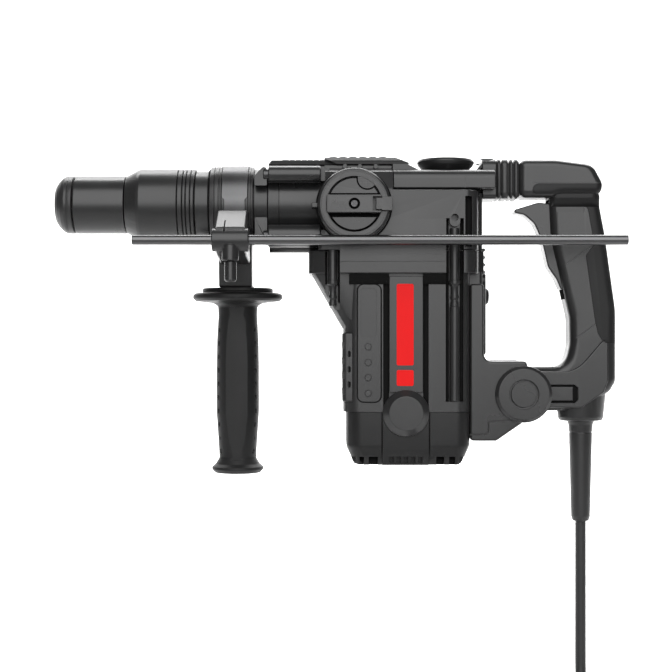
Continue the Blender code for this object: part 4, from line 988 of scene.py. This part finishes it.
def coil_turns(centre_x, centre_y, rows, over):
    """The coil's centreline: rows of three turns laid on one another, drawn from the top turn down."""
    inner, middle_radius, outer = 40.5, 49.5, 58.5
    stations = []
    for row, z in enumerate(rows):
        radii = (outer, middle_radius, inner) if row % 2 == 0 else (inner, middle_radius, outer)
        stations += [(radius, z) for radius in radii]
    per_turn = 24
    crossing, landing, dropped = 0.83, 0.16, 0.41
    route = []
    for i in range(1, 11 * per_turn + 7):
        turn, part = divmod(i, per_turn)
        part /= per_turn
        r, z = stations[turn]
        if part > crossing and turn + 1 < len(stations):
            t = smooth((part - crossing) / (1 - crossing))
            r, z = r + (stations[turn + 1][0] - r) * t, z + (stations[turn + 1][1] - z) * t
        if turn == 0:
            if part < landing:
                r = middle_radius + (outer - middle_radius) * smooth(part / landing)
            z = over + (z - over) * smooth(min(1, max(0, (part - landing) / (dropped - landing))))
        angle = -math.tau * i / per_turn
        route.append(Vector((centre_x + r * math.cos(angle), centre_y + r * math.sin(angle), z)))
    return route


def smooth(t):
    return t * t * (3 - 2 * t)


def make_cord():
    radius, hang, bend = 4.5, BOOT_LOW - 0.3, 40.0
    floor_z = span("cord_coil")[2][0]
    centre_x, centre_y = middle("cord_coil", "X"), middle("cord_coil", "Y")
    rows = [floor_z + radius + 2 * radius * k for k in (3, 2, 1, 0)]
    over = rows[0] + 2 * radius
    route = [Vector((CORD_X, 0, z)) for z in (hang, hang - 20, hang - 45, hang - 70, hang - 95,
        over + bend)]
    for k in range(1, 7):
        a = math.pi / 2 * k / 6
        route.append(Vector((CORD_X, -bend * (1 - math.cos(a)), over + bend - bend * math.sin(a))))
    route += coil_turns(centre_x, centre_y, rows, over)
    tail_y = centre_y - 58.5
    plug_x, axis_z = span("plug")[0][1], middle("plug", "Z")
    for x, z in ((centre_x - 20, floor_z + radius), (centre_x - 38, floor_z + radius),
            (centre_x - 48, floor_z + 7), (centre_x - 60, floor_z + 14), (plug_x + 5, axis_z - 0.2),
            (plug_x + 0.3, axis_z)):
        route.append(Vector((x, tail_y, z)))
    curve = bpy.data.curves.new("supply_cord", "CURVE")
    curve.dimensions, curve.bevel_depth, curve.bevel_resolution = "3D", radius * MM, 5
    curve.use_fill_caps = True
    spline = curve.splines.new("POLY")
    spline.points.add(len(route) - 1)
    for slot, point in zip(spline.points, route):
        slot.co = (*(point * MM), 1)
    curve.materials.append(CABLE)
    cord = bpy.data.objects.new("supply_cord", curve)
    bpy.context.scene.collection.objects.link(cord)
    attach(cord, "rear_handle")
    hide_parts("cord_lead", "cord_coil", "cord_tail")

    centre = (tail_y, axis_z)
    start, end = span("plug")[0]
    body = lathe("plug_body", "X", centre, moved([(19, 0), (19, 18.6, 2), (35, 19, 2), (41, 15.5, 6),
        (55, 12, 6), (60, 9.5, 0.4), (60.6, 8.4), (62.6, 8.2), (63.2, 8.9, 0.4), (66, 8.4, 0.4),
        (66.6, 7.4), (68.6, 7.3), (69.2, 7.8, 0.4)], start) + [(end, 7, 0.8), (end, 0)])
    for sign in (-1, 1):
        cut(body, block("plug_flat", (start + 18, start + 37),
            sorted((tail_y + sign * 16.2, tail_y + sign * 30)), (axis_z - 30, axis_z + 30)))
    piece(body, RUBBER, "rear_handle", "plug", edge=0.5)
    for side, sign in SIDES:
        pin = rod(f"plug_pin_{side}", "X", (tail_y + sign * 9.5, axis_z), start, start + 20, 2.4, 0.8, 24)
        piece(pin, STEEL, "rear_handle")


# ---------------------------------------------------------------- frame parts, studio

def dress_frame():
    """The CAD nodes that stay shown, mostly inside, take the procedural look of their material slot."""
    for entry in frame["record"]["subparts"]:
        node = frame["nodes"][entry["node"]]
        node.data.materials.clear()
        node.data.materials.append(SLOT_LOOKS[entry["material_slot"]])


def area_light(name, place, target, wide, power, tall):
    lamp = bpy.data.lights.new(name, "AREA")
    lamp.shape, lamp.size, lamp.size_y, lamp.energy = "RECTANGLE", wide, tall, power
    obj = bpy.data.objects.new(name, lamp)
    obj.location = place
    obj.rotation_euler = (Vector(target) - Vector(place)).to_track_quat("-Z", "Y").to_euler()
    obj.visible_camera = False
    bpy.context.scene.collection.objects.link(obj)


def make_sweep():
    """The pale floor and wall in one curved sheet, darker towards the front, with a painted glow that grows
    towards the wall.
    """
    floor_z = span("cord_coil")[2][0] * MM
    front, wall, bend, top, half = -4.0, 3.4, 1.2, 5.0, 5.0
    profile = [(front, floor_z), (wall - bend, floor_z)]
    for k in range(1, 13):
        angle = math.pi / 2 * k / 12
        profile.append((wall - bend + bend * math.sin(angle), floor_z + bend * (1 - math.cos(angle))))
    profile += [(wall, top)]
    points = [(x / MM, y / MM, z / MM) for y, z in profile for x in (-half, half)]
    faces = [[2 * i, 2 * i + 1, 2 * i + 3, 2 * i + 2] for i in range(len(profile) - 1)]
    sweep = made("studio_sweep", points, faces)
    sweep.data.shade_smooth()

    n = Nodes("glowing_studio_paper")
    tone = n.add("ShaderNodeValToRGB")
    tone.color_ramp.elements[0].color = (0.8, 0.8, 0.8, 1)
    tone.color_ramp.elements[1].color = (0.84, 0.84, 0.84, 1)
    n.link(n.add("ShaderNodeTexNoise", Scale=3.0).outputs["Fac"], tone.inputs["Fac"])
    depth = n.add("ShaderNodeSeparateXYZ")
    n.link(n.add("ShaderNodeTexCoord").outputs["Object"], depth.inputs["Vector"])
    shade = n.add("ShaderNodeMix", data_type="RGBA", blend_type="MULTIPLY")
    shade.inputs["Factor"].default_value = 1.0
    near, far = -0.9, 0.3
    # Painted light: the sheet emits from none at the front to half strength at the wall, so it glows though
    # it is no lamp.
    glow = n.add("ShaderNodeMapRange", From_Min=near, From_Max=far, To_Min=0.0, To_Max=0.5)
    front_darkening = n.add("ShaderNodeMapRange", From_Min=near, From_Max=far, To_Min=0.3, To_Max=1.0)
    for ramp in (glow, front_darkening):
        n.link(depth.outputs["Y"], ramp.inputs["Value"])
    n.link(tone.outputs["Color"], shade.inputs["A"])
    n.link(front_darkening.outputs["Result"], shade.inputs["B"])
    n.link(shade.outputs["Result"], n.shader.inputs["Base Color"])
    n.link(glow.outputs["Result"], n.shader.inputs["Emission Strength"])
    n.shader.inputs["Emission Color"].default_value = (1, 1, 1, 1)
    n.shader.inputs["Roughness"].default_value = 0.9
    n.shader.inputs["Specular IOR Level"].default_value = 0.0
    sweep.data.materials.append(n.material)


def make_lights():
    """A dim world, a softbox before and one behind, and two lights for the wall and the floor."""
    world = bpy.data.worlds.new("studio_world")
    world.use_nodes = True
    background = world.node_tree.nodes["Background"]
    background.inputs["Color"].default_value = (1, 1, 1, 1)
    background.inputs["Strength"].default_value = 0.1
    bpy.context.scene.world = world

    aim, distance, wide = Vector((-0.2, 0, 0)), 2.3, 2.4
    for name, azimuth, elevation, tall, power in (("key_softbox", 0, 27, 2.8, 66),
            ("back_softbox", 180, 35, 3.2, 24)):
        turn, rise = math.radians(azimuth), math.radians(elevation)
        toward = Vector((math.sin(turn) * math.cos(rise), -math.cos(turn) * math.cos(rise), math.sin(rise)))
        area_light(name, aim + toward * distance, aim, wide, power, tall)
    area_light("wall_light", (-0.2, 1.2, 2.6), (-0.2, 3.4, 0.6), 4.0, 130, 0.8)
    area_light("floor_light", (-0.2, 1.9, 2.8), (-0.2, 1.9, -0.4), 4.0, 60, 1.2)
    bpy.context.scene.view_settings.view_transform = "Standard"


def make_camera():
    """A level camera straight in front of the dial's side."""
    sensor_width, focal_length = 36, 77.7
    place = (-0.2066, -1.218, -0.0512)
    lens = bpy.data.cameras.new("camera")
    lens.sensor_width, lens.lens = sensor_width, focal_length
    camera = bpy.data.objects.new("camera", lens)
    camera.location = place
    camera.rotation_euler = (math.pi / 2, 0, 0)
    bpy.context.scene.collection.objects.link(camera)
    bpy.context.scene.camera = camera


dress_frame()
make_chuck()
make_barrel()
make_gear_case()
make_top()
make_rear_arm()
make_motor()
make_end_cap()
make_bracket()
make_dial()
make_side_handle()
make_rear_handle()
make_bellows()
make_cord()
make_sweep()
make_lights()
make_camera()
